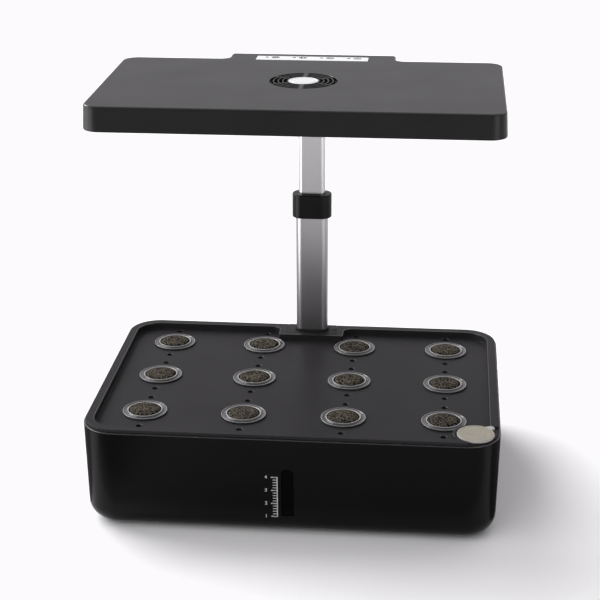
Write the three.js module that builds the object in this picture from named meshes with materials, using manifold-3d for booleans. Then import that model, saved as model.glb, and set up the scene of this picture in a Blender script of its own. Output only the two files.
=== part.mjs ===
// Countertop hydroponic garden: water tank, planting deck with twelve pods, telescopic mast, lamp hood.
// Millimetres, +Z up. The origin is on the table under the middle of the garden, and the front faces -Y.

import * as THREE from 'three';
import { mergeVertices } from 'three/addons/utils/BufferGeometryUtils.js';
import Module from 'manifold-3d';

const wasm = await Module();
wasm.setup();

// Clearances that every piece shares
const gap = 0.3;
const overrun = 3;
const weldTolerance = 0.0001;
const smallestCorner = 0.01;

// Tank
const tankWidth = 359;
const tankFront = 134.5;
const tankBack = 123.5;
const tankHeight = 89.8;
const tankCorner = 30;
const tankWall = 2.5;
const tankFloor = 2.8;
const tankDraftShare = 0.021;
const tankFillet = 15;

// Feet
const footStand = 1.7;
const footRadius = 9;
const footRecess = 1;
const footSideInset = 39.5;
const footFrontInset = 42.5;
const footBackInset = 31.5;

// Level window in the front wall, with its inner flange
const windowWidth = 10.4;
const windowHeight = 44.3;
const windowTopRadius = 4.4;
const windowBelowRim = 30.9;
const windowSink = 0.8;
const windowFlange = 2.4;
const windowFlangeThickness = 1.2;

// Deck: the lid of the tank, with a sunk planting surface
const rimInset = 1.5;
const rimThickness = 2.6;
const rimBandSide = 7.7;
const rimBandBack = 8;
const rimBandFront = 11.8;
const recessDepth = 6.4;
const deckPlate = 2.5;
const deckWall = 2.2;
const skirtDepth = 4;
const skirtClearance = 0.8;
const skirtThickness = 2.2;

// Pods
const podColumns = 4;
const podRows = 3;
const podSideMargin = 48.4;
const podFrontMargin = 55.2;
const podBackMargin = 44.2;
const podHoleRadius = 17.2;
const ventRadius = 2.4;
const ventOffset = 29.8;

// Baskets and their sponges
const basketRimRadius = 19.75;
const basketRimEdge = 0.8;
const basketLipHeight = 2.2;
const basketLip = 1;
const basketWall = 1;
const basketDepth = 48;
const basketTaper = 2.9;
const basketFloor = 1.6;
const basketMouth = 7;
const basketSlotWidth = 6;
const basketSlotHeight = 26;
const basketSlotFoot = 8;
const spongeCrown = 3.9;
const spongeCrownBevel = 2.2;
const spongeClearance = 0.45;

// Raised plinth at the back of the deck, and the notch for the mast's socket
const plinthWidth = 62.6;
const plinthFrontBand = 4;
const plinthFillet = 7.5;
const plinthCorner = 2;
const notchClearance = 0.5;

// Fill port in the front right corner, and its cap
const portSideInset = 21.5;
const portFrontInset = 20.2;
const portRadius = 12.5;
const portBoss = 2.6;
const portNotchLeft = 6;
const portNotchBack = 16.3;
const capRadius = 16.4;
const capThickness = 2.2;
const capClearance = 0.5;
const capSink = 1.6;
const capPlugClearance = 0.3;
const capPlugDepth = 5;
const capPlugWall = 2;
const capTabWidth = 6.5;
const capTabReach = 5.2;
const capTabCorner = 2.6;
const capTabAngle = Math.PI * 0.2;

// Mast: outer tube, inner tube, collar, bush
const mastBackInset = 12.6;
const outerTubeWidth = 30.6;
const outerTubeDepth = 14.6;
const outerTubeCorner = 6.8;
const outerTubeWall = 1.4;
const innerTubeWidth = 25.2;
const innerTubeDepth = 10;
const innerTubeCorner = 4.3;
const innerTubeWall = 1.2;
const innerTubeInserted = 84;
const collarWidth = 37.5;
const collarDepth = 22;
const collarCorner = 10.3;
const collarHeight = 23;
const collarAboveDeck = 123;
const collarLip = 5;
const collarChamfer = 1;
const bushHead = 4;
const bushSpigot = 10;
const bushBoreRadius = 2.6;

// Socket that holds the mast on the tank's back wall
const socketWidth = 47.6;
const socketFrontReach = 12.3;
const socketRise = 0.6;
const socketFlangeDepth = 11;
const socketSleeveWidth = 38;
const socketDepth = 45;
const socketWall = 2;
const socketFloor = 2;
const socketCableRadius = 3;
const socketCorner = 2;
const socketCollarWall = 2.2;
const socketCollarRise = 1.8;

// Screws
const screwRadius = 1.4;
const screwClearance = 0.3;
const screwHeadRadius = 3;
const screwCrownRadius = 2.1;
const screwHeadHeight = 1.8;
const socketScrewReach = 21.2;
const socketScrewDrop = 11.5;
const socketScrewLength = 9;

// Pump on the tank's floor, with its cover, impeller, nozzle and lead
const pumpBackInset = 61.5;
const pumpWidth = 44;
const pumpDepth = 36;
const pumpHeight = 34;
const pumpCorner = 5;
const pumpChamberRadius = 11;
const pumpChamberDepth = 12;
const pumpCoverThickness = 4;
const pumpCoverMargin = 3;
const pumpSlotCount = 6;
const pumpSlotWidth = 2.4;
const pumpSlotPitch = 5;
const pumpSlotHeight = 20;
const impellerRadius = 9.6;
const impellerHub = 3.4;
const impellerBore = 1.6;
const impellerWidth = 8;
const impellerBlades = 6;
const impellerBladeThickness = 1.2;
const impellerPinRadius = 1.3;
const nozzleRadius = 5;
const nozzleWall = 1.4;
const nozzleRise = 34;
const nozzleSeat = 4;
const cableRadius = 2.2;

// Lamp hood: body with a tab over the mast
const lampHeight = 252.4;
const hoodWidth = 351.2;
const hoodDepth = 193.6;
const hoodTabWidth = 155.6;
const hoodTabDepth = 23.6;
const hoodTabReach = 23.6;
const hoodCorner = 14.5;
const hoodTabCorner = 4.5;
const hoodTabFillet = 8;
const hoodThickness = 21.9;
const hoodDraft = 1;
const hoodWall = 2.2;
const hoodRound = 2.6;
const trayThickness = 2;
const trayLift = 0.4;
const ledSideInset = 27.6;
const ledFrontInset = 22.7;
const ledBackInset = 26.9;
const ledOpeningCorner = 4;
const ledLedge = 2.5;
const ledLipWall = 2;
const ledLipHeight = 3.6;
const diffuserThickness = 1.5;
const ledBoardThickness = 1.6;
const hoodScrewSideInset = 14.6;
const hoodScrewFrontInset = 13.7;
const hoodScrewBackInset = 15.9;
const hoodScrewLength = 12;
const bossRadius = 3.6;

// Head bracket: holds the inner tube inside the tab
const bracketWidth = 34;
const bracketWall = 2.4;
const bracketHeight = 14;
const bracketCorner = 3;
const bracketFlange = 5;
const bracketFlangeThickness = 3;
const bracketRoof = 2;

// Fan and its grille
const fanBackInset = 86;
const fanSize = 60;
const fanThickness = 10;
const fanCorner = 5;
const fanBore = 28.4;
const fanHub = 13;
const fanArmWidth = 3;
const fanArmThickness = 1.2;
const fanPostRadius = 2.2;
const fanPostHeight = 5;
const fanPegRadius = 1.7;
const fanPegClearance = 0.3;
const fanPegReach = 25;
const fanPegLength = 6;
const rotorClearance = 0.6;
const rotorHub = 12.4;
const rotorHeight = 7;
const rotorTip = 27.2;
const rotorBlades = 7;
const rotorBladeChord = 8;
const rotorBladeThickness = 1.2;
const rotorPitch = Math.PI * 0.2;
const grilleCapRadius = 13.1;
const grilleCapSink = 0.8;
const grilleCapThickness = 0.6;
const grilleFirstSlot = 14.4;
const grilleSlotWidth = 3.1;
const grilleSlotPitch = 4.1;
const grilleRings = 4;
const grilleWideSpoke = 3.9;
const grilleSpoke = 1.6;

// Control strip, control board and power inlet
const stripWidth = 103.6;
const stripDepth = 16;
const stripBackInset = 11.5;
const stripCorner = 1.2;
const stripSink = 1;
const stripThickness = 0.75;
const boardWidth = 96;
const boardDepth = 17;
const boardThickness = 1.2;
const jackSideInset = 32.8;
const jackRadius = 3.9;
const jackFlangeRadius = 5.2;
const jackFlange = 0.8;
const jackLength = 12;
const jackBore = 2.9;
const jackBoreDepth = 9;
const jackPin = 0.9;
const jackPinShort = 1.5;

// Facets of round stretches
const cornerSteps = 6;
const tubeCornerSteps = 4;
const filletSteps = 3;
const podFacets = 16;
const spongeFacets = 12;
const ventFacets = 6;
const smallFacets = 8;
const hubFacets = 10;
const roundFacets = 16;
const wideFacets = 24;
const slotSteps = 3;
const cableSteps = 10;
const cableSides = 8;

// Heights and edges that follow from the sizes above
const tankBottom = footStand;
const tankTop = tankBottom + tankHeight;
const tankHalf = tankWidth / 2;
const rimBottom = tankTop + gap;
const rimTop = rimBottom + rimThickness;
const deckTop = rimTop - recessDepth;
const collarBottom = deckTop + collarAboveDeck;
const collarTop = collarBottom + collarHeight;
const outerTubeTop = collarTop - collarLip;
const hoodUnderside = deckTop + lampHeight;
const socketTop = rimTop + socketRise;
const socketBottom = socketTop - socketDepth;
const outerTubeBottom = socketBottom + socketFloor + gap;
const innerTubeBottom = collarTop - innerTubeInserted;
const ceiling = hoodThickness - hoodWall;
const trayTop = trayLift + trayThickness;

// Places in plan that follow from the sizes above
const podSpacingX = (tankWidth - podSideMargin * 2) / (podColumns - 1);
const podSpacingY = (tankFront + tankBack - podFrontMargin - podBackMargin) / (podRows - 1);
const portX = tankHalf - portSideInset;
const portY = portFrontInset - tankFront;
const mastY = tankBack - mastBackInset;
const socketFront = mastY - socketFrontReach;
const plinthFront = socketFront - plinthFrontBand;
const pumpY = tankBack - pumpBackInset;
const hoodTabBack = mastY + hoodTabReach;
const hoodBack = hoodTabBack - hoodTabDepth;
const hoodFront = hoodDepth - hoodBack;
const fanY = hoodBack - fanBackInset;
const stripFront = hoodTabBack - stripBackInset - stripDepth;
const jackX = hoodTabWidth / 2 - jackSideInset;
const jackFace = hoodTabBack - hoodDraft / 2;

// A point list for a rectangle with rounded corners, anticlockwise, the same count whatever the radius
function roundedRectangle(left, right, front, back, radius, steps = cornerSteps) {
  const points = [];
  const centres = [
    [right - radius, back - radius],
    [left + radius, back - radius],
    [left + radius, front + radius],
    [right - radius, front + radius],
  ];
  centres.forEach(([x, y], corner) => {
    for (let step = 0; step <= steps; step += 1) {
      const angle = (corner + step / steps) * Math.PI / 2;
      points.push(new THREE.Vector2(x + radius * Math.cos(angle), y + radius * Math.sin(angle)));
    }
  });
  return points;
}

function centredRectangle(width, depth, radius, steps) {
  return roundedRectangle(-width / 2, width / 2, -depth / 2, depth / 2, radius, steps);
}

// A closed body through a stack of outlines with equal point counts, capped at both ends
function loft(levels) {
  const count = levels[0].outline.length;
  const positions = levels.flatMap(({ outline, z }) => outline.flatMap((point) => [point.x, point.y, z]));
  const faces = [];
  for (let level = 0; level + 1 < levels.length; level += 1) {
    for (let side = 0; side < count; side += 1) {
      const next = (side + 1) % count;
      const [low, lowNext] = [level * count + side, level * count + next];
      const [high, highNext] = [low + count, lowNext + count];
      faces.push(low, lowNext, highNext, low, highNext, high);
    }
  }
  const last = (levels.length - 1) * count;
  THREE.ShapeUtils.triangulateShape(levels[0].outline, []).forEach(([a, b, c]) => faces.push(a, c, b));
  THREE.ShapeUtils.triangulateShape(levels[levels.length - 1].outline, [])
    .forEach(([a, b, c]) => faces.push(last + a, last + b, last + c));
  return solidFrom(new Float32Array(positions), faces);
}

// A boolean-ready solid with its faces pointing out
function solidFrom(positions, faces) {
  const corner = (index) => new THREE.Vector3().fromArray(positions, index * 3);
  const triangles = [];
  let volume = 0;
  for (let face = 0; face < faces.length; face += 3) {
    const [a, b, c] = [faces[face], faces[face + 1], faces[face + 2]];
    if (a !== b && b !== c && c !== a) {
      triangles.push([a, b, c]);
      volume += corner(a).dot(corner(b).cross(corner(c)));
    }
  }
  const ordered = volume < 0 ? triangles.map(([a, b, c]) => [a, c, b]) : triangles;
  return new wasm.Manifold(new wasm.Mesh({
    numProp: 3,
    vertProperties: positions,
    triVerts: new Uint32Array(ordered.flat()),
  }));
}

function solidOf(geometry) {
  geometry.deleteAttribute('normal');
  geometry.deleteAttribute('uv');
  const merged = mergeVertices(geometry, weldTolerance);
  return solidFrom(new Float32Array(merged.attributes.position.array), Array.from(merged.index.array));
}

function geometryOf(solid) {
  const { vertProperties, triVerts } = solid.getMesh();
  const geometry = new THREE.BufferGeometry();
  geometry.setAttribute('position', new THREE.BufferAttribute(new Float32Array(vertProperties), 3));
  geometry.setIndex(new THREE.BufferAttribute(new Uint32Array(triVerts), 1));
  geometry.computeVertexNormals();
  return geometry;
}

function box(left, right, front, back, low, high) {
  const geometry = new THREE.BoxGeometry(right - left, back - front, high - low);
  return solidOf(geometry.translate((left + right) / 2, (front + back) / 2, (low + high) / 2));
}

function prism(outline, low, high) {
  return loft([{ outline, z: low }, { outline, z: high }]);
}

function cylinder(radius, low, high, x = 0, y = 0, facets = roundFacets) {
  const geometry = new THREE.CylinderGeometry(radius, radius, high - low, facets);
  return solidOf(geometry.rotateX(Math.PI / 2).translate(x, y, (low + high) / 2));
}

// A cylinder along Y, for screws, bores and the pump's chamber
function crossCylinder(radius, front, back, x, z, facets = roundFacets) {
  const geometry = new THREE.CylinderGeometry(radius, radius, back - front, facets);
  return solidOf(geometry.translate(x, (front + back) / 2, z));
}

// A turned body about Z from a closed profile of [radius, height] pairs
function turned(profile, facets) {
  const points = [...profile, profile[0]].map(([radius, height]) => new THREE.Vector2(radius, height));
  return solidOf(new THREE.LatheGeometry(points, facets).rotateX(Math.PI / 2));
}

function joined(first, ...others) {
  return others.reduce((body, other) => body.add(other), first);
}

function cutBy(body, ...cutters) {
  return cutters.reduce((rest, cutter) => rest.subtract(cutter), body);
}

// Finishes
const finish = (color, roughness, metalness = 0) => ({ color, roughness, metalness });
const finishes = {
  blackShell: finish(0x1b1b1d, 0.45),
  greyDeck: finish(0x46454a, 0.5),
  hoodGrey: finish(0x66656a, 0.5),
  aluminium: finish(0xb9babd, 0.35, 1),
  smokyPlastic: finish(0x9a9a9e, 0.3),
  sponge: finish(0x3b352d, 0.95),
  silicone: finish(0xb9b3a0, 0.5),
  white: finish(0xf1f1f2, 0.4),
  rubber: finish(0x202020, 0.9),
  clear: finish(0x2a2d30, 0.15),
  board: finish(0xe4e6e2, 0.6),
  circuit: finish(0x1f4a34, 0.6),
  steel: finish(0x9c9c9c, 0.35, 1),
  pumpBlack: finish(0x26272b, 0.5),
};

function piece(name, geometry, look) {
  const mesh = new THREE.Mesh(geometry, new THREE.MeshStandardMaterial(finishes[look]));
  mesh.name = name;
  return mesh;
}

// The tank's outline at a height, drawn in by the draft and by a further inset
function tankOutline(height, inset = 0) {
  const drawnIn = inset + (tankTop - height) * tankDraftShare;
  return roundedRectangle(
    -tankHalf + drawnIn, tankHalf - drawnIn, -tankFront + drawnIn, tankBack - drawnIn,
    Math.max(tankCorner - drawnIn, tankWall),
  );
}

// Levels of the rounded bottom edge, from the flat bottom up to the wall
function filletLevels(bottom, radius, inset) {
  const levels = [];
  for (let step = 0; step <= filletSteps; step += 1) {
    const angle = (step / filletSteps) * Math.PI / 2;
    const z = bottom + radius * (1 - Math.cos(angle));
    levels.push({ outline: tankOutline(z, inset + radius * (1 - Math.sin(angle))), z });
  }
  return levels;
}

function makeTank() {
  const innerFillet = Math.max(tankFillet - tankWall, tankWall);
  const outside = [
    ...filletLevels(tankBottom, tankFillet, 0),
    { outline: tankOutline(tankTop), z: tankTop },
  ];
  const inside = [
    ...filletLevels(tankBottom + tankFloor, innerFillet, tankWall),
    { outline: tankOutline(tankTop, tankWall), z: tankTop },
  ].reverse();
  const shell = loft([...outside, ...inside]);
  const footPockets = footPlaces().map(([x, y]) => (
    cylinder(footRadius + gap, tankBottom - overrun, tankBottom + footRecess, x, y)
  ));
  const screwHoles = [-socketScrewReach, socketScrewReach].map((x) => crossCylinder(
    screwRadius + screwClearance, tankBack - tankWall - overrun, tankBack + overrun, x,
    tankTop - socketScrewDrop, smallFacets,
  ));
  return cutBy(shell, windowPlug(0, overrun, overrun), ...footPockets, ...screwHoles);
}

function footPlaces() {
  const side = tankHalf - footSideInset;
  const [front, back] = [footFrontInset - tankFront, tankBack - footBackInset];
  return [[-side, front], [side, front], [-side, back], [side, back]];
}

// The window's opening leans with the front wall: an arched outline pushed through it
function windowPlug(margin, outward, inward) {
  const half = windowWidth / 2 + margin;
  const top = windowHeight / 2 + margin;
  const arch = Math.min(windowTopRadius + margin, half - weldTolerance);
  const shape = new THREE.Shape();
  shape.moveTo(-half, -top);
  shape.lineTo(half, -top);
  shape.lineTo(half, top - arch);
  shape.absarc(half - arch, top - arch, arch, 0, Math.PI / 2);
  shape.absarc(arch - half, top - arch, arch, Math.PI / 2, Math.PI);
  const settings = { depth: outward + inward, bevelEnabled: false, curveSegments: filletSteps };
  const geometry = new THREE.ExtrudeGeometry(shape, settings);
  geometry.translate(0, 0, -inward).rotateX(Math.PI / 2 + Math.atan(tankDraftShare));
  const middle = tankTop - windowBelowRim - windowHeight / 2 + rimThickness;
  const face = -tankFront + (tankTop - middle) * tankDraftShare;
  return solidOf(geometry.translate(0, face, middle));
}

function makeWindow() {
  const pane = windowPlug(-gap, -windowSink, tankWall + windowFlangeThickness + gap);
  const flange = windowPlug(windowFlange, -tankWall - gap, tankWall + windowFlangeThickness + gap);
  return joined(pane, flange);
}

// Rim outline of the deck, drawn in by an inset on all sides
function rimOutline(inset) {
  return roundedRectangle(
    -tankHalf + rimInset + inset, tankHalf - rimInset - inset,
    -tankFront + rimInset + inset, tankBack - rimInset - inset,
    tankCorner - rimInset - inset,
  );
}

// The sunk surface's outline, grown by a margin; each side of the rim has its own width
function recessOutline(margin) {
  return roundedRectangle(
    -tankHalf + rimInset + rimBandSide - margin, tankHalf - rimInset - rimBandSide + margin,
    -tankFront + rimInset + rimBandFront - margin, tankBack - rimInset - rimBandBack + margin,
    tankCorner - rimInset - rimBandSide + margin,
  );
}

function podPlaces() {
  const places = [];
  for (let row = 0; row < podRows; row += 1) {
    for (let column = 0; column < podColumns; column += 1) {
      places.push([
        column * podSpacingX + podSideMargin - tankHalf,
        tankBack - podBackMargin - row * podSpacingY,
      ]);
    }
  }
  return places;
}

// The plinth's outline, with hollow fillets where it meets the rim
function plinthOutline() {
  const half = plinthWidth / 2;
  const rimEdge = tankBack - rimInset - rimBandBack;
  const shape = new THREE.Shape();
  shape.moveTo(-half + plinthCorner, plinthFront);
  shape.lineTo(half - plinthCorner, plinthFront);
  shape.absarc(half - plinthCorner, plinthFront + plinthCorner, plinthCorner, -Math.PI / 2, 0);
  shape.lineTo(half, rimEdge - plinthFillet);
  shape.absarc(half + plinthFillet, rimEdge - plinthFillet, plinthFillet, Math.PI, Math.PI / 2, true);
  shape.lineTo(half + plinthFillet, rimEdge + deckWall);
  shape.lineTo(-half - plinthFillet, rimEdge + deckWall);
  shape.lineTo(-half - plinthFillet, rimEdge);
  shape.absarc(-half - plinthFillet, rimEdge - plinthFillet, plinthFillet, Math.PI / 2, 0, true);
  shape.lineTo(-half, plinthFront + plinthCorner);
  shape.absarc(-half + plinthCorner, plinthFront + plinthCorner, plinthCorner, Math.PI, Math.PI * 1.5);
  const geometry = new THREE.ExtrudeGeometry(shape, {
    depth: recessDepth + deckPlate, bevelEnabled: false, curveSegments: filletSteps,
  });
  return solidOf(geometry.translate(0, 0, deckTop - deckPlate));
}

// The ring that carries the fill cap, inside the rim's outline above and inside the skirt's below
function portBossSolid() {
  const outer = capRadius + capClearance + portBoss;
  const post = cylinder(outer, deckTop - deckPlate, rimTop, portX, portY);
  const upper = prism(rimOutline(0), rimBottom, rimTop + overrun);
  const skirtInset = skirtClearance + tankWall - rimInset;
  const lower = prism(rimOutline(skirtInset), deckTop - deckPlate - overrun, rimBottom);
  return post.intersect(upper.add(lower));
}

// What is taken away round the cap: its pocket, the low corner beyond it, and the filling hole
function portCuts() {
  const padTop = rimTop - capSink;
  return [
    cylinder(capRadius + capClearance, padTop, rimTop + overrun, portX, portY, wideFacets),
    box(
      portX - portNotchLeft, tankHalf + overrun, -tankFront - overrun, portY + portNotchBack,
      padTop, rimTop + overrun,
    ),
    cylinder(portRadius, deckTop - deckPlate - skirtDepth, rimTop + overrun, portX, portY),
  ];
}

function makeDeck() {
  const skirtOuter = skirtClearance + tankWall - rimInset;
  const plateBottom = deckTop - deckPlate;
  const shell = loft([
    { outline: recessOutline(0), z: deckTop },
    { outline: recessOutline(0), z: rimTop },
    { outline: rimOutline(0), z: rimTop },
    { outline: rimOutline(0), z: rimBottom },
    { outline: rimOutline(skirtOuter), z: rimBottom },
    { outline: rimOutline(skirtOuter), z: rimBottom - skirtDepth },
    { outline: rimOutline(skirtOuter + skirtThickness), z: rimBottom - skirtDepth },
    { outline: rimOutline(skirtOuter + skirtThickness), z: rimBottom },
    { outline: recessOutline(deckWall), z: rimBottom },
    { outline: recessOutline(deckWall), z: plateBottom },
  ]);
  const holes = podPlaces().flatMap(([x, y]) => [
    cylinder(podHoleRadius, plateBottom - overrun, deckTop + overrun, x, y, podFacets),
    cylinder(ventRadius, plateBottom - overrun, deckTop + overrun, x, y - ventOffset, ventFacets),
    cylinder(ventRadius, plateBottom - overrun, deckTop + overrun, x, y + ventOffset, ventFacets),
  ]);
  const half = socketWidth / 2 + notchClearance;
  const notch = box(
    -half, half, socketFront - notchClearance, tankBack + overrun,
    rimBottom - skirtDepth - deckPlate - overrun, rimTop + overrun,
  );
  return cutBy(joined(shell, plinthOutline(), portBossSolid()), ...holes, notch, ...portCuts());
}

// Height zero is the deck's surface for the baskets and sponges
function basketInnerRadius(height) {
  const mouth = podHoleRadius - basketRimEdge - basketWall;
  return mouth + (height / basketDepth) * basketTaper;
}

function makeBasket() {
  const neck = podHoleRadius - gap - basketWall / 2;
  const bodyTop = basketInnerRadius(0);
  const bottom = -basketDepth;
  const shoulder = podHoleRadius - basketWall;
  const body = turned([
    [basketMouth, bottom],
    [basketInnerRadius(bottom) + basketWall, bottom],
    [neck, gap],
    [basketRimRadius, gap],
    [basketRimRadius, gap + basketRimEdge],
    [shoulder, basketLipHeight],
    [bodyTop - basketLip, basketLipHeight],
    [basketInnerRadius(bottom) - basketLip, bottom + basketFloor],
    [basketMouth, bottom + basketFloor],
  ], podFacets);
  const half = basketSlotWidth / 2;
  const foot = bottom + basketSlotFoot;
  return cutBy(
    body,
    box(-podHoleRadius, podHoleRadius, -half, half, foot, foot + basketSlotHeight),
    box(-half, half, -podHoleRadius, podHoleRadius, foot, foot + basketSlotHeight),
  );
}

function makeSponge() {
  const foot = -basketDepth + basketFloor + gap;
  const reach = (height) => basketInnerRadius(height) - basketLip - spongeClearance;
  return turned([
    [0, foot],
    [reach(foot), foot],
    [reach(0), 0],
    [reach(0), spongeCrown - spongeCrownBevel],
    [reach(0) - spongeCrownBevel, spongeCrown],
    [0, spongeCrown],
  ], spongeFacets);
}

// The cap lies on the deck's low pad; height zero is the underside of its disc
function makeCap() {
  const plug = portRadius - capPlugClearance;
  const disc = turned([
    [0, capThickness],
    [capRadius, capThickness],
    [capRadius, 0],
    [plug, 0],
    [plug, -capPlugDepth],
    [plug - capPlugWall, -capPlugDepth],
    [plug - capPlugWall, 0],
    [0, 0],
  ], wideFacets);
  const tab = prism(
    roundedRectangle(0, capRadius + capTabReach, -capTabWidth / 2, capTabWidth / 2,
      capTabCorner, tubeCornerSteps),
    0, capThickness,
  );
  return joined(disc, tab.rotate([0, 0, THREE.MathUtils.radToDeg(capTabAngle)]));
}

function hollowTube(width, depth, corner, wall, low, high) {
  const outline = centredRectangle(width, depth, corner, tubeCornerSteps);
  const bore = centredRectangle(width - wall * 2, depth - wall * 2, corner - wall, tubeCornerSteps);
  return cutBy(prism(outline, low, high), prism(bore, low - overrun, high + overrun));
}

function boreFor(width, depth, corner, clearance, low, high) {
  return prism(
    centredRectangle(width + clearance * 2, depth + clearance * 2, corner + clearance, tubeCornerSteps),
    low, high,
  );
}

function makeCollar() {
  const full = centredRectangle(collarWidth, collarDepth, collarCorner, tubeCornerSteps);
  const drawn = centredRectangle(
    collarWidth - collarChamfer * 2, collarDepth - collarChamfer * 2,
    collarCorner - collarChamfer, tubeCornerSteps,
  );
  const body = loft([
    { outline: full, z: collarBottom },
    { outline: full, z: collarTop - collarChamfer },
    { outline: drawn, z: collarTop },
  ]);
  return cutBy(
    body,
    boreFor(outerTubeWidth, outerTubeDepth, outerTubeCorner, gap,
      collarBottom - overrun, outerTubeTop + gap),
    boreFor(innerTubeWidth, innerTubeDepth, innerTubeCorner, gap, collarBottom, collarTop + overrun),
  );
}

function makeBush() {
  const wall = outerTubeWall + gap;
  const head = prism(centredRectangle(
    outerTubeWidth - wall * 2, outerTubeDepth - wall * 2, outerTubeCorner - wall, tubeCornerSteps,
  ), innerTubeBottom - gap - bushHead, innerTubeBottom - gap);
  const inner = innerTubeWall + gap;
  const spigot = prism(centredRectangle(
    innerTubeWidth - inner * 2, innerTubeDepth - inner * 2, innerTubeCorner - inner, tubeCornerSteps,
  ), innerTubeBottom - gap - bushHead / 2, innerTubeBottom + bushSpigot);
  return cutBy(joined(head, spigot), cylinder(
    bushBoreRadius, innerTubeBottom - bushHead - overrun, innerTubeBottom + bushSpigot + overrun,
    0, 0, smallFacets,
  ));
}

// The socket in the mast's frame: a sleeve in the tank, a flange in the deck's notch, a saddle on the wall
function makeSocket() {
  const front = socketFront - mastY;
  const wallFace = tankBack - tankWall - mastY;
  const sleeveBack = wallFace - gap - (tankTop - socketBottom) * tankDraftShare;
  const half = socketWidth / 2;
  const flange = prism(roundedRectangle(-half, half, front, sleeveBack, socketCorner, tubeCornerSteps),
    socketTop - socketFlangeDepth, socketTop);
  const sleeve = box(-socketSleeveWidth / 2, socketSleeveWidth / 2,
    -outerTubeDepth / 2 - socketWall, sleeveBack, socketBottom, socketTop - socketRise);
  const saddleBack = tankBack - rimInset - mastY;
  const saddle = box(-half, half, sleeveBack - socketCorner, saddleBack, rimBottom, socketTop);
  const collar = boreFor(outerTubeWidth, outerTubeDepth, outerTubeCorner, socketCollarWall,
    socketTop - socketRise, socketTop + socketCollarRise);
  const body = joined(flange, sleeve, saddle, collar);
  const screwBores = [-socketScrewReach, socketScrewReach].map((x) => crossCylinder(
    screwRadius + screwClearance, sleeveBack - socketScrewLength, sleeveBack + overrun, x,
    tankTop - socketScrewDrop, smallFacets,
  ));
  return cutBy(
    body,
    boreFor(outerTubeWidth, outerTubeDepth, outerTubeCorner, gap, socketBottom + socketFloor,
      socketTop + socketCollarRise + overrun),
    cylinder(
      socketCableRadius, socketBottom - overrun, socketBottom + socketFloor + overrun, 0, 0, smallFacets,
    ),
    ...screwBores,
  );
}

// A pan-head screw along Z, its head below height zero and its shank above
function makeScrew(length) {
  return turned([
    [0, -screwHeadHeight],
    [screwCrownRadius, -screwHeadHeight],
    [screwHeadRadius, -screwHeadHeight / 2],
    [screwHeadRadius, 0],
    [screwRadius, 0],
    [screwRadius, length],
    [0, length],
  ], smallFacets);
}

// Pump pieces, height zero on the tank's floor and the middle of the body on the axis
const chamberHeight = pumpHeight / 2;
const pumpFace = -pumpDepth / 2;
const chamberBack = pumpFace + pumpChamberDepth;

function makePumpBody() {
  const outline = centredRectangle(pumpWidth, pumpDepth, pumpCorner, tubeCornerSteps);
  const chamber = crossCylinder(pumpChamberRadius, pumpFace - overrun, chamberBack, 0, chamberHeight);
  const outletY = pumpFace + pumpChamberDepth / 2;
  const outlet = cylinder(
    nozzleRadius - nozzleWall, chamberHeight, pumpHeight + overrun, 0, outletY, smallFacets,
  );
  const seat = cylinder(nozzleRadius + gap, pumpHeight - nozzleSeat - gap, pumpHeight + overrun, 0, outletY);
  const pin = crossCylinder(
    impellerPinRadius, pumpFace + gap, chamberBack + overrun, 0, chamberHeight, smallFacets,
  );
  return joined(cutBy(prism(outline, 0, pumpHeight), chamber, outlet, seat), pin);
}

function makePumpCover() {
  const half = pumpWidth / 2 - pumpCoverMargin;
  const front = pumpFace - gap - pumpCoverThickness;
  const plate = box(-half, half, front, pumpFace - gap, pumpCoverMargin, pumpHeight - pumpCoverMargin);
  const slots = [];
  for (let slot = 0; slot < pumpSlotCount; slot += 1) {
    const x = (slot - (pumpSlotCount - 1) / 2) * pumpSlotPitch;
    slots.push(box(
      x - pumpSlotWidth / 2, x + pumpSlotWidth / 2, front - overrun, pumpFace + overrun,
      chamberHeight - pumpSlotHeight / 2, chamberHeight + pumpSlotHeight / 2,
    ));
  }
  return cutBy(plate, ...slots);
}

function makeImpeller() {
  const start = chamberBack - gap - impellerWidth;
  const end = chamberBack - gap;
  const blades = [];
  for (let blade = 0; blade < impellerBlades; blade += 1) {
    const vane = box(impellerHub / 2, impellerRadius, start, end,
      -impellerBladeThickness / 2, impellerBladeThickness / 2);
    blades.push(vane.rotate([0, blade * 360 / impellerBlades, 0]));
  }
  const hub = crossCylinder(impellerHub, start, end, 0, 0, hubFacets);
  const bore = crossCylinder(impellerBore, start - overrun, end + overrun, 0, 0, hubFacets);
  return cutBy(joined(hub, ...blades), bore);
}

function makeNozzle() {
  const foot = pumpHeight - nozzleSeat;
  const top = pumpHeight + nozzleRise;
  return cutBy(
    cylinder(nozzleRadius, foot, top),
    cylinder(nozzleRadius - nozzleWall, foot - overrun, top + overrun),
  );
}

// The pump's lead, from the back of the pump to the hole in the socket's floor
function makeCable() {
  const start = pumpY + pumpDepth / 2 + gap;
  const low = tankBottom + tankFloor + chamberHeight;
  const end = socketBottom - gap;
  const path = new THREE.CatmullRomCurve3([
    new THREE.Vector3(0, start, low),
    new THREE.Vector3(0, start + cableRadius * 2, low),
    new THREE.Vector3(0, (start + mastY) / 2 + cableRadius * 2, low + cableRadius),
    new THREE.Vector3(0, mastY, end - cableRadius * 4),
    new THREE.Vector3(0, mastY, end),
  ]);
  const section = new THREE.Shape();
  for (let side = 0; side < cableSides; side += 1) {
    const angle = side * Math.PI * 2 / cableSides;
    const [x, y] = [cableRadius * Math.cos(angle), cableRadius * Math.sin(angle)];
    if (side === 0) section.moveTo(x, y);
    else section.lineTo(x, y);
  }
  return solidOf(new THREE.ExtrudeGeometry(section, { steps: cableSteps, extrudePath: path }));
}

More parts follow.
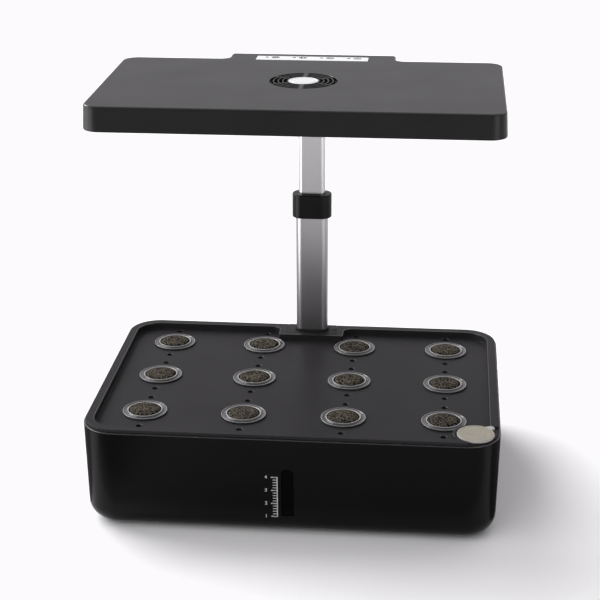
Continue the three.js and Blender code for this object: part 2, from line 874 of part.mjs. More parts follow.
// The hood's outline with its tab, drawn in by an inset; height zero is the hood's underside
function hoodOutline(inset) {
  const half = hoodWidth / 2 - inset;
  const tab = hoodTabWidth / 2 - inset;
  const [front, back, tabBack] = [-hoodFront + inset, hoodBack - inset, hoodTabBack - inset];
  const outer = hoodCorner - inset;
  const tabCorner = Math.max(hoodTabCorner - inset, smallestCorner);
  const hollow = hoodTabFillet + inset;
  const arcs = [
    [half - outer, back - outer, outer, 0, 1],
    [-half + outer, back - outer, outer, 1, 2],
    [-half + outer, front + outer, outer, 2, 3],
    [half - outer, front + outer, outer, 3, 4],
  ];
  const tabArcs = [
    [tab + hollow, back + hollow, hollow, 3, 2],
    [tab - tabCorner, tabBack - tabCorner, tabCorner, 0, 1],
    [-tab + tabCorner, tabBack - tabCorner, tabCorner, 1, 2],
    [-tab - hollow, back + hollow, hollow, 4, 3],
  ];
  const points = [];
  const sweep = ([x, y, radius, from, to]) => {
    for (let step = 0; step <= cornerSteps; step += 1) {
      const angle = (from + (to - from) * step / cornerSteps) * Math.PI / 2;
      points.push(new THREE.Vector2(x + radius * Math.cos(angle), y + radius * Math.sin(angle)));
    }
  };
  sweep(arcs[0]);
  tabArcs.forEach(sweep);
  arcs.slice(1).forEach(sweep);
  return points;
}

function hoodScrewPlaces() {
  const side = hoodWidth / 2 - hoodScrewSideInset;
  const [front, back] = [hoodScrewFrontInset - hoodFront, hoodBack - hoodScrewBackInset];
  return [[-side, front], [side, front], [-side, back], [side, back]];
}

// One curved slot of the grille, between two radii and two spokes
function grilleSlot(inner, outer, from, to, fromSpoke, toSpoke) {
  const points = [];
  const sweep = (radius, start, end) => {
    for (let step = 0; step <= slotSteps; step += 1) {
      const angle = start + (end - start) * step / slotSteps;
      points.push(new THREE.Vector2(radius * Math.cos(angle), fanY + radius * Math.sin(angle)));
    }
  };
  sweep(outer, from + Math.asin(fromSpoke / 2 / outer), to - Math.asin(toSpoke / 2 / outer));
  sweep(inner, to - Math.asin(toSpoke / 2 / inner), from + Math.asin(fromSpoke / 2 / inner));
  return prism(points, ceiling - overrun, hoodThickness + overrun);
}

function grilleSlots() {
  const spokes = [0, 1, 2, 3, 4, 5].map((index) => ({
    angle: (index * 2 + 1) * Math.PI / 6,
    width: index % 3 === 1 ? grilleWideSpoke : grilleSpoke,
  }));
  const slots = [];
  for (let ring = 0; ring < grilleRings; ring += 1) {
    const inner = grilleFirstSlot + ring * grilleSlotPitch;
    spokes.forEach((spoke, index) => {
      const next = spokes[(index + 1) % spokes.length];
      const end = spoke.angle + Math.PI / 3;
      slots.push(grilleSlot(inner, inner + grilleSlotWidth, spoke.angle, end, spoke.width, next.width));
    });
  }
  return slots;
}

function fanPegPlaces(middle) {
  return [[-1, -1], [1, -1], [-1, 1], [1, 1]].map(([x, y]) => [x * fanPegReach, middle + y * fanPegReach]);
}

function makeHoodTop() {
  const rounded = [];
  for (let step = 0; step <= filletSteps; step += 1) {
    const angle = (1 - step / filletSteps) * Math.PI / 2;
    rounded.push({
      outline: hoodOutline(hoodDraft + hoodRound * (1 - Math.cos(angle))),
      z: hoodThickness - hoodRound * (1 - Math.sin(angle)),
    });
  }
  const shell = loft([
    ...rounded,
    { outline: hoodOutline(0), z: 0 },
    { outline: hoodOutline(hoodWall), z: 0 },
    { outline: hoodOutline(hoodWall + hoodDraft), z: ceiling },
  ]);
  const bosses = hoodScrewPlaces().map(([x, y]) => (
    cylinder(bossRadius, trayTop + gap, ceiling + gap, x, y, hubFacets)
  ));
  const pegs = fanPegPlaces(fanY).map(([x, y]) => (
    cylinder(fanPegRadius, ceiling - fanPegLength, ceiling + gap, x, y, smallFacets)
  ));
  const screwBores = hoodScrewPlaces().map(([x, y]) => (
    cylinder(screwRadius + screwClearance, trayLift, trayTop + gap + hoodScrewLength, x, y, smallFacets)
  ));
  const stripPocket = prism(roundedRectangle(
    -stripWidth / 2 - gap, stripWidth / 2 + gap, stripFront - gap, stripFront + stripDepth + gap,
    stripCorner + gap, filletSteps,
  ), hoodThickness - stripSink, hoodThickness + overrun);
  const capPocket = cylinder(grilleCapRadius + gap, hoodThickness - grilleCapSink,
    hoodThickness + overrun, 0, fanY, wideFacets);
  const jackHole = crossCylinder(jackRadius + gap, jackFace - hoodWall - overrun,
    hoodTabBack + overrun, jackX, hoodThickness / 2);
  const jackPocket = crossCylinder(jackFlangeRadius + gap, jackFace - jackFlange - gap,
    hoodTabBack + overrun, jackX, hoodThickness / 2);
  return cutBy(
    joined(shell, ...bosses, ...pegs),
    ...screwBores, ...grilleSlots(), stripPocket, capPocket, jackHole, jackPocket,
  );
}

function ledRectangle(margin) {
  return roundedRectangle(
    ledSideInset - hoodWidth / 2 - margin, hoodWidth / 2 - ledSideInset + margin,
    ledFrontInset - hoodFront - margin, hoodBack - ledBackInset + margin,
    ledOpeningCorner + margin, filletSteps,
  );
}

function makeTray() {
  const inset = hoodWall + gap + hoodDraft * trayTop / ceiling;
  const plate = loft([
    { outline: hoodOutline(inset), z: trayLift },
    { outline: hoodOutline(inset), z: trayTop },
  ]);
  const lip = prism(ledRectangle(ledLedge + ledLipWall), trayTop - gap, trayTop + ledLipHeight);
  const holes = hoodScrewPlaces().map(([x, y]) => (
    cylinder(screwRadius + screwClearance, trayLift - overrun, trayTop + overrun, x, y, smallFacets)
  ));
  const heads = hoodScrewPlaces().map(([x, y]) => cylinder(
    screwHeadRadius + screwClearance, trayLift - overrun, trayLift + trayThickness / 2, x, y, roundFacets,
  ));
  const tubeHole = prism(roundedRectangle(
    -innerTubeWidth / 2 - gap, innerTubeWidth / 2 + gap,
    mastY - innerTubeDepth / 2 - gap, mastY + innerTubeDepth / 2 + gap,
    innerTubeCorner + gap, tubeCornerSteps,
  ), trayLift - overrun, trayTop + overrun);
  return cutBy(
    joined(plate, lip),
    prism(ledRectangle(0), trayLift - overrun, trayTop + overrun),
    prism(ledRectangle(ledLedge), trayLift + trayThickness / 2, trayTop + ledLipHeight + overrun),
    ...holes, ...heads, tubeHole,
  );
}

const diffuserBottom = trayLift + trayThickness / 2 + gap;
const ledBoardBottom = trayTop + ledLipHeight + gap;

function makeDiffuser() {
  return prism(ledRectangle(ledLedge - gap), diffuserBottom, diffuserBottom + diffuserThickness);
}

function makeLedBoard() {
  return prism(ledRectangle(ledLedge + ledLipWall), ledBoardBottom, ledBoardBottom + ledBoardThickness);
}

// The bracket stands on the tray round the top of the inner tube
function makeBracket() {
  const low = trayTop + gap;
  const depth = innerTubeDepth + (gap + bracketWall) * 2;
  const block = prism(
    centredRectangle(bracketWidth, depth, bracketCorner, tubeCornerSteps),
    low, low + bracketHeight,
  );
  const foot = prism(
    centredRectangle(bracketWidth + bracketFlange * 2, depth, bracketCorner, tubeCornerSteps),
    low, low + bracketFlangeThickness,
  );
  return cutBy(joined(block, foot), boreFor(
    innerTubeWidth, innerTubeDepth, innerTubeCorner, gap, low - overrun, low + bracketHeight - bracketRoof,
  ));
}

// Fan pieces, height zero on the hood's underside, the fan's axis on the local axis
const fanTop = ceiling - gap;
const fanBottom = fanTop - fanThickness;
const rotorBottom = fanBottom + fanArmThickness + rotorClearance;

function makeFanFrame() {
  const block = prism(centredRectangle(fanSize, fanSize, fanCorner, filletSteps), fanBottom, fanTop);
  const bore = cylinder(fanBore, fanBottom - overrun, fanTop + overrun, 0, 0, wideFacets);
  const armHeight = fanBottom + fanArmThickness;
  const half = fanArmWidth / 2;
  const arms = [
    box(-fanBore - half, fanBore + half, -half, half, fanBottom, armHeight),
    box(-half, half, -fanBore - half, fanBore + half, fanBottom, armHeight),
  ];
  const hub = cylinder(fanHub, fanBottom, armHeight);
  const post = cylinder(fanPostRadius, fanBottom, armHeight + fanPostHeight, 0, 0, smallFacets);
  const pegHoles = fanPegPlaces(0).map(([x, y]) => cylinder(
    fanPegRadius + fanPegClearance, fanBottom - overrun, fanTop + overrun, x, y, smallFacets,
  ));
  return cutBy(joined(cutBy(block, bore), ...arms, hub, post), ...pegHoles);
}

function makeRotor() {
  const top = rotorBottom + rotorHeight;
  const hub = cylinder(rotorHub, rotorBottom, top);
  const middle = (rotorBottom + top) / 2;
  const length = rotorTip - rotorHub + rotorBladeThickness;
  const blades = [];
  for (let blade = 0; blade < rotorBlades; blade += 1) {
    const geometry = new THREE.BoxGeometry(length, rotorBladeChord, rotorBladeThickness);
    geometry.rotateX(rotorPitch).translate(rotorTip - length / 2, 0, middle);
    blades.push(solidOf(geometry.rotateZ(blade * Math.PI * 2 / rotorBlades)));
  }
  const boreTop = fanBottom + fanArmThickness + fanPostHeight + gap;
  const bore = cylinder(fanPostRadius + gap, rotorBottom - overrun, boreTop, 0, 0, smallFacets);
  return cutBy(joined(hub, ...blades), bore);
}

function makeGrilleCap() {
  const low = hoodThickness - grilleCapSink + gap;
  return cylinder(grilleCapRadius, low, low + grilleCapThickness, 0, 0, wideFacets);
}

function makeStrip() {
  const low = hoodThickness - stripSink + gap;
  return prism(roundedRectangle(
    -stripWidth / 2, stripWidth / 2, stripFront, stripFront + stripDepth, stripCorner, filletSteps,
  ), low, low + stripThickness);
}

function makeControlBoard() {
  const [half, top] = [boardWidth / 2, ceiling - gap];
  return box(-half, half, stripFront, stripFront + boardDepth, top - boardThickness, top);
}

// The power inlet, turned about Z with its mouth at height zero
function makeJack() {
  return turned([
    [0, -jackLength],
    [jackRadius, -jackLength],
    [jackRadius, -jackFlange],
    [jackFlangeRadius, -jackFlange],
    [jackFlangeRadius, 0],
    [jackBore, 0],
    [jackBore, -jackBoreDepth],
    [jackPin, -jackBoreDepth],
    [jackPin, -jackPinShort],
    [0, -jackPinShort],
  ], roundFacets);
}

// Assembly
const garden = new THREE.Group();

function tankGroup() {
  const group = new THREE.Group();
  group.add(piece('tank', geometryOf(makeTank()), 'blackShell'));
  group.add(piece('level_window', geometryOf(makeWindow()), 'clear'));
  const foot = geometryOf(cylinder(footRadius, 0, tankBottom + footRecess - gap));
  const names = ['foot_front_left', 'foot_front_right', 'foot_back_left', 'foot_back_right'];
  footPlaces().forEach(([x, y], index) => {
    const mesh = piece(names[index], foot, 'rubber');
    mesh.position.set(x, y, 0);
    group.add(mesh);
  });
  const screw = geometryOf(makeScrew(tankWall + socketScrewLength));
  const screwHeight = tankTop - socketScrewDrop;
  const face = tankBack - socketScrewDrop * tankDraftShare + gap;
  const sides = { socket_screw_left: -socketScrewReach, socket_screw_right: socketScrewReach };
  Object.entries(sides).forEach(([name, x]) => {
    const mesh = piece(name, screw, 'steel');
    mesh.rotation.x = Math.PI / 2;
    mesh.position.set(x, face, screwHeight);
    group.add(mesh);
  });
  return group;
}

function pumpGroup() {
  const group = new THREE.Group();
  const nozzle = piece('pump_nozzle', geometryOf(makeNozzle()), 'pumpBlack');
  nozzle.position.y = pumpFace + pumpChamberDepth / 2;
  const impeller = piece('pump_impeller', geometryOf(makeImpeller()), 'white');
  impeller.position.z = chamberHeight;
  group.add(
    piece('pump_body', geometryOf(makePumpBody()), 'pumpBlack'),
    piece('pump_cover', geometryOf(makePumpCover()), 'pumpBlack'),
    impeller,
    nozzle,
  );
  group.position.set(0, pumpY, tankBottom + tankFloor + gap);
  return group;
}

function mastGroup() {
  const group = new THREE.Group();
  group.add(
    piece('mast_socket', geometryOf(makeSocket()), 'greyDeck'),
    piece('mast_outer_tube', geometryOf(hollowTube(
      outerTubeWidth, outerTubeDepth, outerTubeCorner, outerTubeWall, outerTubeBottom, outerTubeTop,
    )), 'aluminium'),
    piece('mast_collar', geometryOf(makeCollar()), 'blackShell'),
    piece('mast_inner_tube', geometryOf(hollowTube(
      innerTubeWidth, innerTubeDepth, innerTubeCorner, innerTubeWall, innerTubeBottom,
      hoodUnderside + trayTop + bracketHeight - bracketRoof,
    )), 'aluminium'),
    piece('mast_bush', geometryOf(makeBush()), 'white'),
  );
  const bracket = piece('head_bracket', geometryOf(makeBracket()), 'blackShell');
  bracket.position.z = hoodUnderside;
  group.add(bracket);
  group.position.y = mastY;
  return group;
}

function hoodGroup() {
  const group = new THREE.Group();
  group.add(
    piece('hood_top', geometryOf(makeHoodTop()), 'hoodGrey'),
    piece('hood_tray', geometryOf(makeTray()), 'blackShell'),
    piece('led_diffuser', geometryOf(makeDiffuser()), 'clear'),
    piece('led_board', geometryOf(makeLedBoard()), 'board'),
    piece('control_strip', geometryOf(makeStrip()), 'white'),
    piece('control_board', geometryOf(makeControlBoard()), 'circuit'),
  );
  const fan = new THREE.Group();
  fan.add(
    piece('fan_frame', geometryOf(makeFanFrame()), 'pumpBlack'),
    piece('fan_rotor', geometryOf(makeRotor()), 'pumpBlack'),
    piece('grille_cap', geometryOf(makeGrilleCap()), 'white'),
  );
  fan.position.y = fanY;
  group.add(fan);
  const jack = piece('dc_jack', geometryOf(makeJack()), 'pumpBlack');
  jack.rotation.x = -Math.PI / 2;
  jack.position.set(jackX, jackFace, hoodThickness / 2);
  group.add(jack);
  const screw = geometryOf(makeScrew(hoodScrewLength));
  hoodScrewPlaces().forEach(([x, y], index) => {
    const mesh = piece(`hood_screw_${index + 1}`, screw, 'steel');
    mesh.position.set(x, y, trayLift + trayThickness / 2 - gap);
    group.add(mesh);
  });
  group.position.z = hoodUnderside;
  return group;
}

function podGroup() {
  const group = new THREE.Group();
  const basket = geometryOf(makeBasket());
  const sponge = geometryOf(makeSponge());
  podPlaces().forEach(([x, y], index) => {
    const pod = new THREE.Group();
    pod.add(piece(`basket_${index + 1}`, basket, 'smokyPlastic'));
    pod.add(piece(`sponge_${index + 1}`, sponge, 'sponge'));
    pod.position.set(x, y, 0);
    group.add(pod);
  });
  group.position.z = deckTop;
  return group;
}

const cap = piece('fill_cap', geometryOf(makeCap()), 'silicone');
cap.position.set(portX, portY, rimTop - capSink + gap);

garden.add(
  tankGroup(),
  pumpGroup(),
  piece('pump_cable', geometryOf(makeCable()), 'rubber'),
  mastGroup(),
  piece('deck', geometryOf(makeDeck()), 'greyDeck'),
  cap,
  podGroup(),
  hoodGroup(),
);

export default garden;
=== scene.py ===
# %% [markdown]
# # A countertop hydroponic garden
#
# The object is a black water tank with a grey planting deck, twelve grow baskets, a flat aluminium mast in two
# telescoping tubes and a lamp hood with a fan grille. The engineering model gives every size, joint and fit.
# This file dresses it: it builds each visible shell again with round edges and gives every piece its finish.

# %% Load the engineering model
import math

import bmesh
import bpy
from mathutils import Matrix, Vector


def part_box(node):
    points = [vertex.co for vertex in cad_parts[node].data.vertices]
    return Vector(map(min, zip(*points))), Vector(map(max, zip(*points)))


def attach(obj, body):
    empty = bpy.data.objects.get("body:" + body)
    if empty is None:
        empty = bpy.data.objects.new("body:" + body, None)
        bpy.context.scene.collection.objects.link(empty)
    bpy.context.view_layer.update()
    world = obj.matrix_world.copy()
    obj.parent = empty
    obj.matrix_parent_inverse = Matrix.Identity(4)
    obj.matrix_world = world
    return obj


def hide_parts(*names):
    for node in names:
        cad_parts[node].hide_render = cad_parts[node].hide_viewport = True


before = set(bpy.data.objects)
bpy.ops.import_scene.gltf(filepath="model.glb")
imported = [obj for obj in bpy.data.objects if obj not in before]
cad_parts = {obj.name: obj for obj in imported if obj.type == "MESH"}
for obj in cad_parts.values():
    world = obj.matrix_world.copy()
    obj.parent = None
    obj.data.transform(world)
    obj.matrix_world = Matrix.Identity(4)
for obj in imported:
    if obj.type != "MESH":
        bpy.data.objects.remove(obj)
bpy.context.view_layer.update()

# %% [markdown]
# ## Camera
#
# The camera comes first, because everything else is judged through it. Its place and turn were worked out from
# the even pitch of the baskets and air holes: a long lens, about 1.5 metres away, looking 21 degrees down.
# The three rows are the directions to the right, down and into the picture.

# %% Camera
MM = 0.001
CAMERA_PLACE = Vector((126.5, -1332.8, 677.6)) * MM
CAMERA_RIGHT = Vector((0.99555, 0.09416, -0.00337))
CAMERA_DOWN = Vector((0.03044, -0.3552, -0.93429))
CAMERA_FORWARD = Vector((-0.08917, 0.93004, -0.35649))
CAMERA_LENS = 95.295


def add_camera():
    data = bpy.data.cameras.new("camera")
    data.lens = CAMERA_LENS
    camera = bpy.data.objects.new("camera", data)
    bpy.context.scene.collection.objects.link(camera)
    turn = Matrix((CAMERA_RIGHT, -CAMERA_DOWN, -CAMERA_FORWARD)).transposed()
    camera.matrix_world = Matrix.Translation(CAMERA_PLACE) @ turn.to_4x4()
    data.clip_start = 0.05
    data.clip_end = 50
    bpy.context.scene.camera = camera
    return camera


camera = add_camera()
print("camera height", round(camera.location.z, 3))

# %% [markdown]
# ## Studio
#
# The photograph is a bright product shot: a white floor that runs out of the picture, one wide soft light from
# the back left that throws the shadow to the front right, and panels that draw the light lines on round edges.
# The sun lamp's direction and width were fitted to the outline of that shadow. The sky is dim in front and bright
# behind, so the top faces shine while the front faces stay black. Lamps and panels share the work: the sun lamps
# give the light and shadow but no gloss, and only glossy surfaces see the panels and the six cards on the floor.
# Three grey cards tone down what the mast and the baskets mirror, and three dark ones keep the tank's walls
# black. The floor is a little brighter than white, and a tone curve ends at the photograph's pale lilac white.

# %% Floor, sky and lamps
SKY_COLOUR = (0.985, 0.97, 0.99)
SKY_CHANGE = {"Y": (-0.85, 0.7, 0.27, 0.92), "Z": (0.1, 0.8, 0.65, 1.2)}
KEY_STRENGTH = 4.25
KEY_ANGLE = math.radians(54)
KEY_FROM = Vector((-0.63, 0.55, 0.475))
FILL_STRENGTH = 1.6
FILL_FROM = Vector((-0.7, -0.6, 0.4))
FILL_ANGLE = math.radians(70)
FLOOR_HALF = 9.0
FLOOR_COLOUR = (0.87, 0.86, 0.872)
CARD_COLOUR = (0.36, 0.355, 0.36)
SIDE_CARD_COLOUR = (0.08, 0.079, 0.08)
PICTURE_WHITE = (0.974, 0.957, 0.974)
DARK_CARDS = ("left_card", "left_front_card", "right_card")


def look_along(direction):
    return direction.to_track_quat("-Z", "Y")


def add_lamp(name, kind, energy, place, target):
    data = bpy.data.lights.new(name, kind)
    data.energy = energy
    lamp = bpy.data.objects.new(name, data)
    bpy.context.scene.collection.objects.link(lamp)
    lamp.location = place
    lamp.rotation_mode = "QUATERNION"
    lamp.rotation_quaternion = look_along(Vector(target) - Vector(place))
    return lamp


def add_sun(name, strength, source, angle):
    """Sunlight that lights and throws shadows, but isn't seen in glossy surfaces."""
    sun = add_lamp(name, "SUN", strength, source, (0, 0, 0))
    sun.data.angle = angle
    sun.visible_glossy = False
    return sun


def add_panel(name, glow, size, place, target):
    """A panel that shows only in glossy surfaces; glow is its brightness against a white sheet."""
    panel = add_lamp(name, "AREA", glow * math.pi * size[0] * size[1], place, target)
    panel.data.shape = "RECTANGLE"
    panel.data.size, panel.data.size_y = size
    panel.visible_camera = panel.visible_diffuse = False
    return panel


def add_sky():
    """A sky whose brightness grows from front to back and a little with the height; seen directly, it is white."""
    world = bpy.data.worlds.new("studio_sky")
    world.use_nodes = True
    nodes, links = world.node_tree.nodes, world.node_tree.links
    nodes["Background"].inputs["Color"].default_value = (*SKY_COLOUR, 1)
    place = nodes.new("ShaderNodeTexCoord")
    parts = nodes.new("ShaderNodeSeparateXYZ")
    links.new(place.outputs["Generated"], parts.inputs[0])
    product = nodes.new("ShaderNodeMath")
    product.operation = "MULTIPLY"
    for index, (axis, values) in enumerate(SKY_CHANGE.items()):
        ranged = nodes.new("ShaderNodeMapRange")
        ranged.interpolation_type = "SMOOTHSTEP"
        for label, value in zip(("From Min", "From Max", "To Min", "To Max"), values):
            ranged.inputs[label].default_value = value
        links.new(parts.outputs[axis], ranged.inputs["Value"])
        links.new(ranged.outputs["Result"], product.inputs[index])
    shown = nodes.new("ShaderNodeMath")
    shown.operation = "MAXIMUM"
    links.new(product.outputs[0], shown.inputs[0])
    links.new(nodes.new("ShaderNodeLightPath").outputs["Is Camera Ray"], shown.inputs[1])
    links.new(shown.outputs[0], nodes["Background"].inputs["Strength"])
    bpy.context.scene.world = world


def set_tone():
    """The standard view, with whatever is brighter than the picture's white held at that white."""
    view = bpy.context.scene.view_settings
    view.view_transform = "Standard"
    view.use_curve_mapping = True
    view.curve_mapping.extend = "HORIZONTAL"
    for channel, white in zip(view.curve_mapping.curves, PICTURE_WHITE):
        channel.points[-1].location = (white, white)
    view.curve_mapping.update()


add_sky()
set_tone()
add_sun("key_sun", KEY_STRENGTH, KEY_FROM, KEY_ANGLE)
add_sun("fill_sun", FILL_STRENGTH, FILL_FROM, FILL_ANGLE)
add_panel("panel_left", 3.5, (0.35, 0.42), (-0.45, -0.15, 0.22), (0, 0, 0.2))
add_panel("panel_right", 2.7, (0.6, 0.6), (0.95, -0.86, 0.31), (0, 0, 0.2))
add_panel("panel_key", 9, (0.5, 0.5), (-0.95, 0.5, 0.9), (0, 0, 0.2))


def add_sheet(name, left, right, front, back, z):
    mesh = bpy.data.meshes.new(name)
    mesh.from_pydata([(left, front, z), (right, front, z), (right, back, z), (left, back, z)], [], [(0, 1, 2, 3)])
    sheet = bpy.data.objects.new(name, mesh)
    bpy.context.scene.collection.objects.link(sheet)
    return sheet


floor = add_sheet("floor", -FLOOR_HALF, FLOOR_HALF, -FLOOR_HALF, FLOOR_HALF, 0)
cards = [
    add_sheet("front_card", -0.3, 0.3, -1.1, -0.17, 0.002),
    add_sheet("back_card", -0.7, 0.7, 0.25, 1.3, 0.002),
    add_sheet("left_card", -0.7, -0.19, -0.1, 0.25, 0.002),
    add_sheet("left_front_card", -0.7, -0.16, -0.6, -0.21, 0.003),
    add_sheet("right_card", 0.19, 0.7, -0.11, 0.25, 0.002),
    add_sheet("right_front_card", 0.3, 0.7, -0.6, -0.21, 0.002),
]
for card in cards:
    card.visible_camera = card.visible_diffuse = card.visible_shadow = card.visible_transmission = False

# %% [markdown]
# ## Materials
#
# Moulded plastic is never one flat value. Its gloss wanders a little over a hand's breadth, and its surface has
# a fine grain from the mould, so every finish here mixes a slow noise into the roughness and a fine one into
# the bump. All patterns read Object coordinates, which stay with the piece when it moves.

# %% Material helpers
def new_finish(name, colour, roughness, metallic=0.0, ior=1.45):
    """A material with a Principled shader, and the nodes that the pattern helpers add to."""
    material = bpy.data.materials.new(name)
    material.use_nodes = True
    shader = material.node_tree.nodes["Principled BSDF"]
    shader.inputs["Base Color"].default_value = (*colour, 1)
    shader.inputs["Roughness"].default_value = roughness
    shader.inputs["Metallic"].default_value = metallic
    shader.inputs["IOR"].default_value = ior
    return material


def add_node(material, kind, **values):
    node = material.node_tree.nodes.new(kind)
    for label, value in values.items():
        node.inputs[label.replace("_", " ")].default_value = value
    return node


def wire(material, source, target):
    material.node_tree.links.new(source, target)


def object_pattern(material, scale, detail=3.0, stretch=(1, 1, 1)):
    """A noise on Object coordinates; scale counts features per metre."""
    place = add_node(material, "ShaderNodeTexCoord")
    mapping = add_node(material, "ShaderNodeMapping", Scale=stretch)
    pattern = add_node(material, "ShaderNodeTexNoise", Scale=scale, Detail=detail)
    wire(material, place.outputs["Object"], mapping.inputs["Vector"])
    wire(material, mapping.outputs["Vector"], pattern.inputs["Vector"])
    return pattern


def spread(material, source, low, high, start=0.3, end=0.7):
    """Maps a pattern's middle range to the values low to high."""
    ranged = add_node(material, "ShaderNodeMapRange")
    ranged.inputs["From Min"].default_value = start
    ranged.inputs["From Max"].default_value = end
    ranged.inputs["To Min"].default_value = low
    ranged.inputs["To Max"].default_value = high
    wire(material, source, ranged.inputs["Value"])
    return ranged.outputs["Result"]


def vary_roughness(material, scale, low, high, stretch=(1, 1, 1)):
    pattern = object_pattern(material, scale, stretch=stretch)
    shader = material.node_tree.nodes["Principled BSDF"]
    wire(material, spread(material, pattern.outputs[0], low, high), shader.inputs["Roughness"])


def vary_colour(material, scale, dark, light, detail=3.0):
    pattern = object_pattern(material, scale, detail)
    ramp = add_node(material, "ShaderNodeValToRGB")
    ramp.color_ramp.elements[0].position = 0.35
    ramp.color_ramp.elements[0].color = (*dark, 1)
    ramp.color_ramp.elements[1].position = 0.65
    ramp.color_ramp.elements[1].color = (*light, 1)
    wire(material, pattern.outputs[0], ramp.inputs["Fac"])
    wire(material, ramp.outputs["Color"], material.node_tree.nodes["Principled BSDF"].inputs["Base Color"])
    return ramp


def add_grain(material, scale, height, detail=2.0, stretch=(1, 1, 1)):
    """Fine relief; height is in metres."""
    pattern = object_pattern(material, scale, detail, stretch)
    bump = add_node(material, "ShaderNodeBump", Strength=1.0, Distance=height)
    wire(material, pattern.outputs[0], bump.inputs["Height"])
    wire(material, bump.outputs["Normal"], material.node_tree.nodes["Principled BSDF"].inputs["Normal"])


# %% [markdown]
# ### The plastics
#
# The tank is the blackest piece and only its rounded corners catch light; its top edge is painted lighter as
# a painted highlight. The deck and the hood's top are a dark grey with a satin skin, glossier along the round
# edges, where a mould is polished. The hood's round edges are painted darker than its top, and its sides darker
# still, both as painted shade; the sides carry a fine crossed texture that shows as a faint weave.

# %% Plastic finishes
def moulded(name, dark, light, rough_low, rough_high, shine, grain):
    """A moulded plastic; shine scales its reflection, from 0 for none to 0.5 for a plain glossy plastic."""
    material = new_finish(name, light, rough_high)
    material.node_tree.nodes["Principled BSDF"].inputs["Specular IOR Level"].default_value = shine
    vary_colour(material, 14, dark, light)
    vary_roughness(material, 22, rough_low, rough_high)
    add_grain(material, 2600, grain)
    return material


tank_black = moulded("tank_black_plastic", (0.002, 0.0019, 0.002), (0.003, 0.0028, 0.003), 0.22, 0.26, 0.16, 2e-5)
# The tank's top edge: a lighter colour than the tank, a painted highlight.
tank_edge_highlight = moulded("tank_edge_painted_highlight", (0.03, 0.0285, 0.03), (0.035, 0.033, 0.035), 0.25, 0.3, 0.6, 1e-5)
collar_black = moulded("collar_black_plastic", (0.004, 0.0038, 0.004), (0.005, 0.0048, 0.005), 0.27, 0.32, 0.2, 2e-5)
deck_edge = moulded("deck_edge_plastic", (0.016, 0.0151, 0.0162), (0.018, 0.017, 0.0182), 0.2, 0.24, 0.8, 1e-5)
# The hood's round edges: darker than the hood's top, a painted shade.
hood_edge_shade = moulded("hood_edge_painted_shade", (0.016, 0.0155, 0.016), (0.018, 0.0175, 0.018), 0.2, 0.24, 0.6, 1e-5)
deck_grey = moulded("deck_grey_plastic", (0.0205, 0.0193, 0.0208), (0.0226, 0.0213, 0.0229), 0.34, 0.39, 0.06, 2e-5)
hood_grey = moulded("hood_grey_plastic", (0.0268, 0.0252, 0.0268), (0.0298, 0.0281, 0.0298), 0.31, 0.35, 0.13, 1.5e-5)
hidden_plastic = moulded("hidden_black_plastic", (0.01, 0.01, 0.011), (0.016, 0.016, 0.017), 0.45, 0.55, 0.5, 3e-5)
white_acetal = moulded("white_acetal", (0.7, 0.7, 0.69), (0.78, 0.78, 0.77), 0.35, 0.45, 0.5, 1e-5)


def weave_and_shade_sides():
    """The hood's sides: crossed fine lines, laid at 45 degrees to the edge, on a colour painted darker than the top as
    painted shade.
    """
    material = moulded("hood_side_weave_painted_shade", (0.007, 0.0066, 0.007), (0.009, 0.0085, 0.009), 0.27, 0.32, 0.2, 1e-5)
    place = add_node(material, "ShaderNodeTexCoord")
    heights = []
    for turn in (45, -45):
        mapping = add_node(material, "ShaderNodeMapping", Rotation=(0, math.radians(turn), math.radians(turn)))
        wave = add_node(material, "ShaderNodeTexWave", Scale=190, Distortion=0.4)
        wire(material, place.outputs["Object"], mapping.inputs["Vector"])
        wire(material, mapping.outputs["Vector"], wave.inputs["Vector"])
        heights.append(wave.outputs["Fac"])
    both = material.node_tree.nodes.new("ShaderNodeMath")
    both.operation = "MULTIPLY"
    wire(material, heights[0], both.inputs[0])
    wire(material, heights[1], both.inputs[1])
    bump = add_node(material, "ShaderNodeBump", Strength=0.6, Distance=6e-5)
    wire(material, both.outputs[0], bump.inputs["Height"])
    grain = [n for n in material.node_tree.nodes if n.bl_idname == "ShaderNodeBump" and n != bump][0]
    wire(material, grain.outputs["Normal"], bump.inputs["Normal"])
    wire(material, bump.outputs["Normal"], material.node_tree.nodes["Principled BSDF"].inputs["Normal"])
    return material


hood_side_shade_weave = weave_and_shade_sides()
print("plastics:", [m.name for m in (tank_black, deck_grey, hood_grey, hood_side_shade_weave)])

# %% [markdown]
# ### Metal, rubber, silicone and prints
#
# Drawn aluminium has fine lines along the tube, so its noise is stretched along Z. The grow baskets are smoky:
# a little transmission lets the deck show through them. Their bead and lip are painted lighter: painted
# highlights.

# %% Other finishes
aluminium = new_finish("satin_aluminium", (0.57, 0.56, 0.57), 0.32, metallic=1.0)
vary_roughness(aluminium, 500, 0.3, 0.32, stretch=(1, 1, 0.02))
add_grain(aluminium, 2200, 1.5e-7, stretch=(1, 1, 0.01))

screw_steel = new_finish("zinc_steel", (0.38, 0.38, 0.38), 0.35, metallic=1.0)
vary_roughness(screw_steel, 700, 0.25, 0.45)

basket_smoke = new_finish("smoky_clear_plastic", (0.08, 0.079, 0.081), 0.12, ior=1.5)
basket_smoke.node_tree.nodes["Principled BSDF"].inputs["Transmission Weight"].default_value = 0.12
vary_roughness(basket_smoke, 160, 0.1, 0.14)
add_grain(basket_smoke, 900, 1.5e-6)

# Lighter colours for the bead and the lip: painted highlights.
bead_highlight = new_finish("bead_painted_highlight", (0.19, 0.188, 0.192), 0.12, ior=1.5)
vary_roughness(bead_highlight, 160, 0.1, 0.14)
lip_highlight = new_finish("lip_painted_highlight", (0.3, 0.296, 0.303), 0.1, ior=1.55)
vary_roughness(lip_highlight, 160, 0.08, 0.12)

window_smoke = new_finish("smoked_pane", (0.002, 0.002, 0.0022), 0.12, ior=1.1)
vary_roughness(window_smoke, 60, 0.1, 0.16)

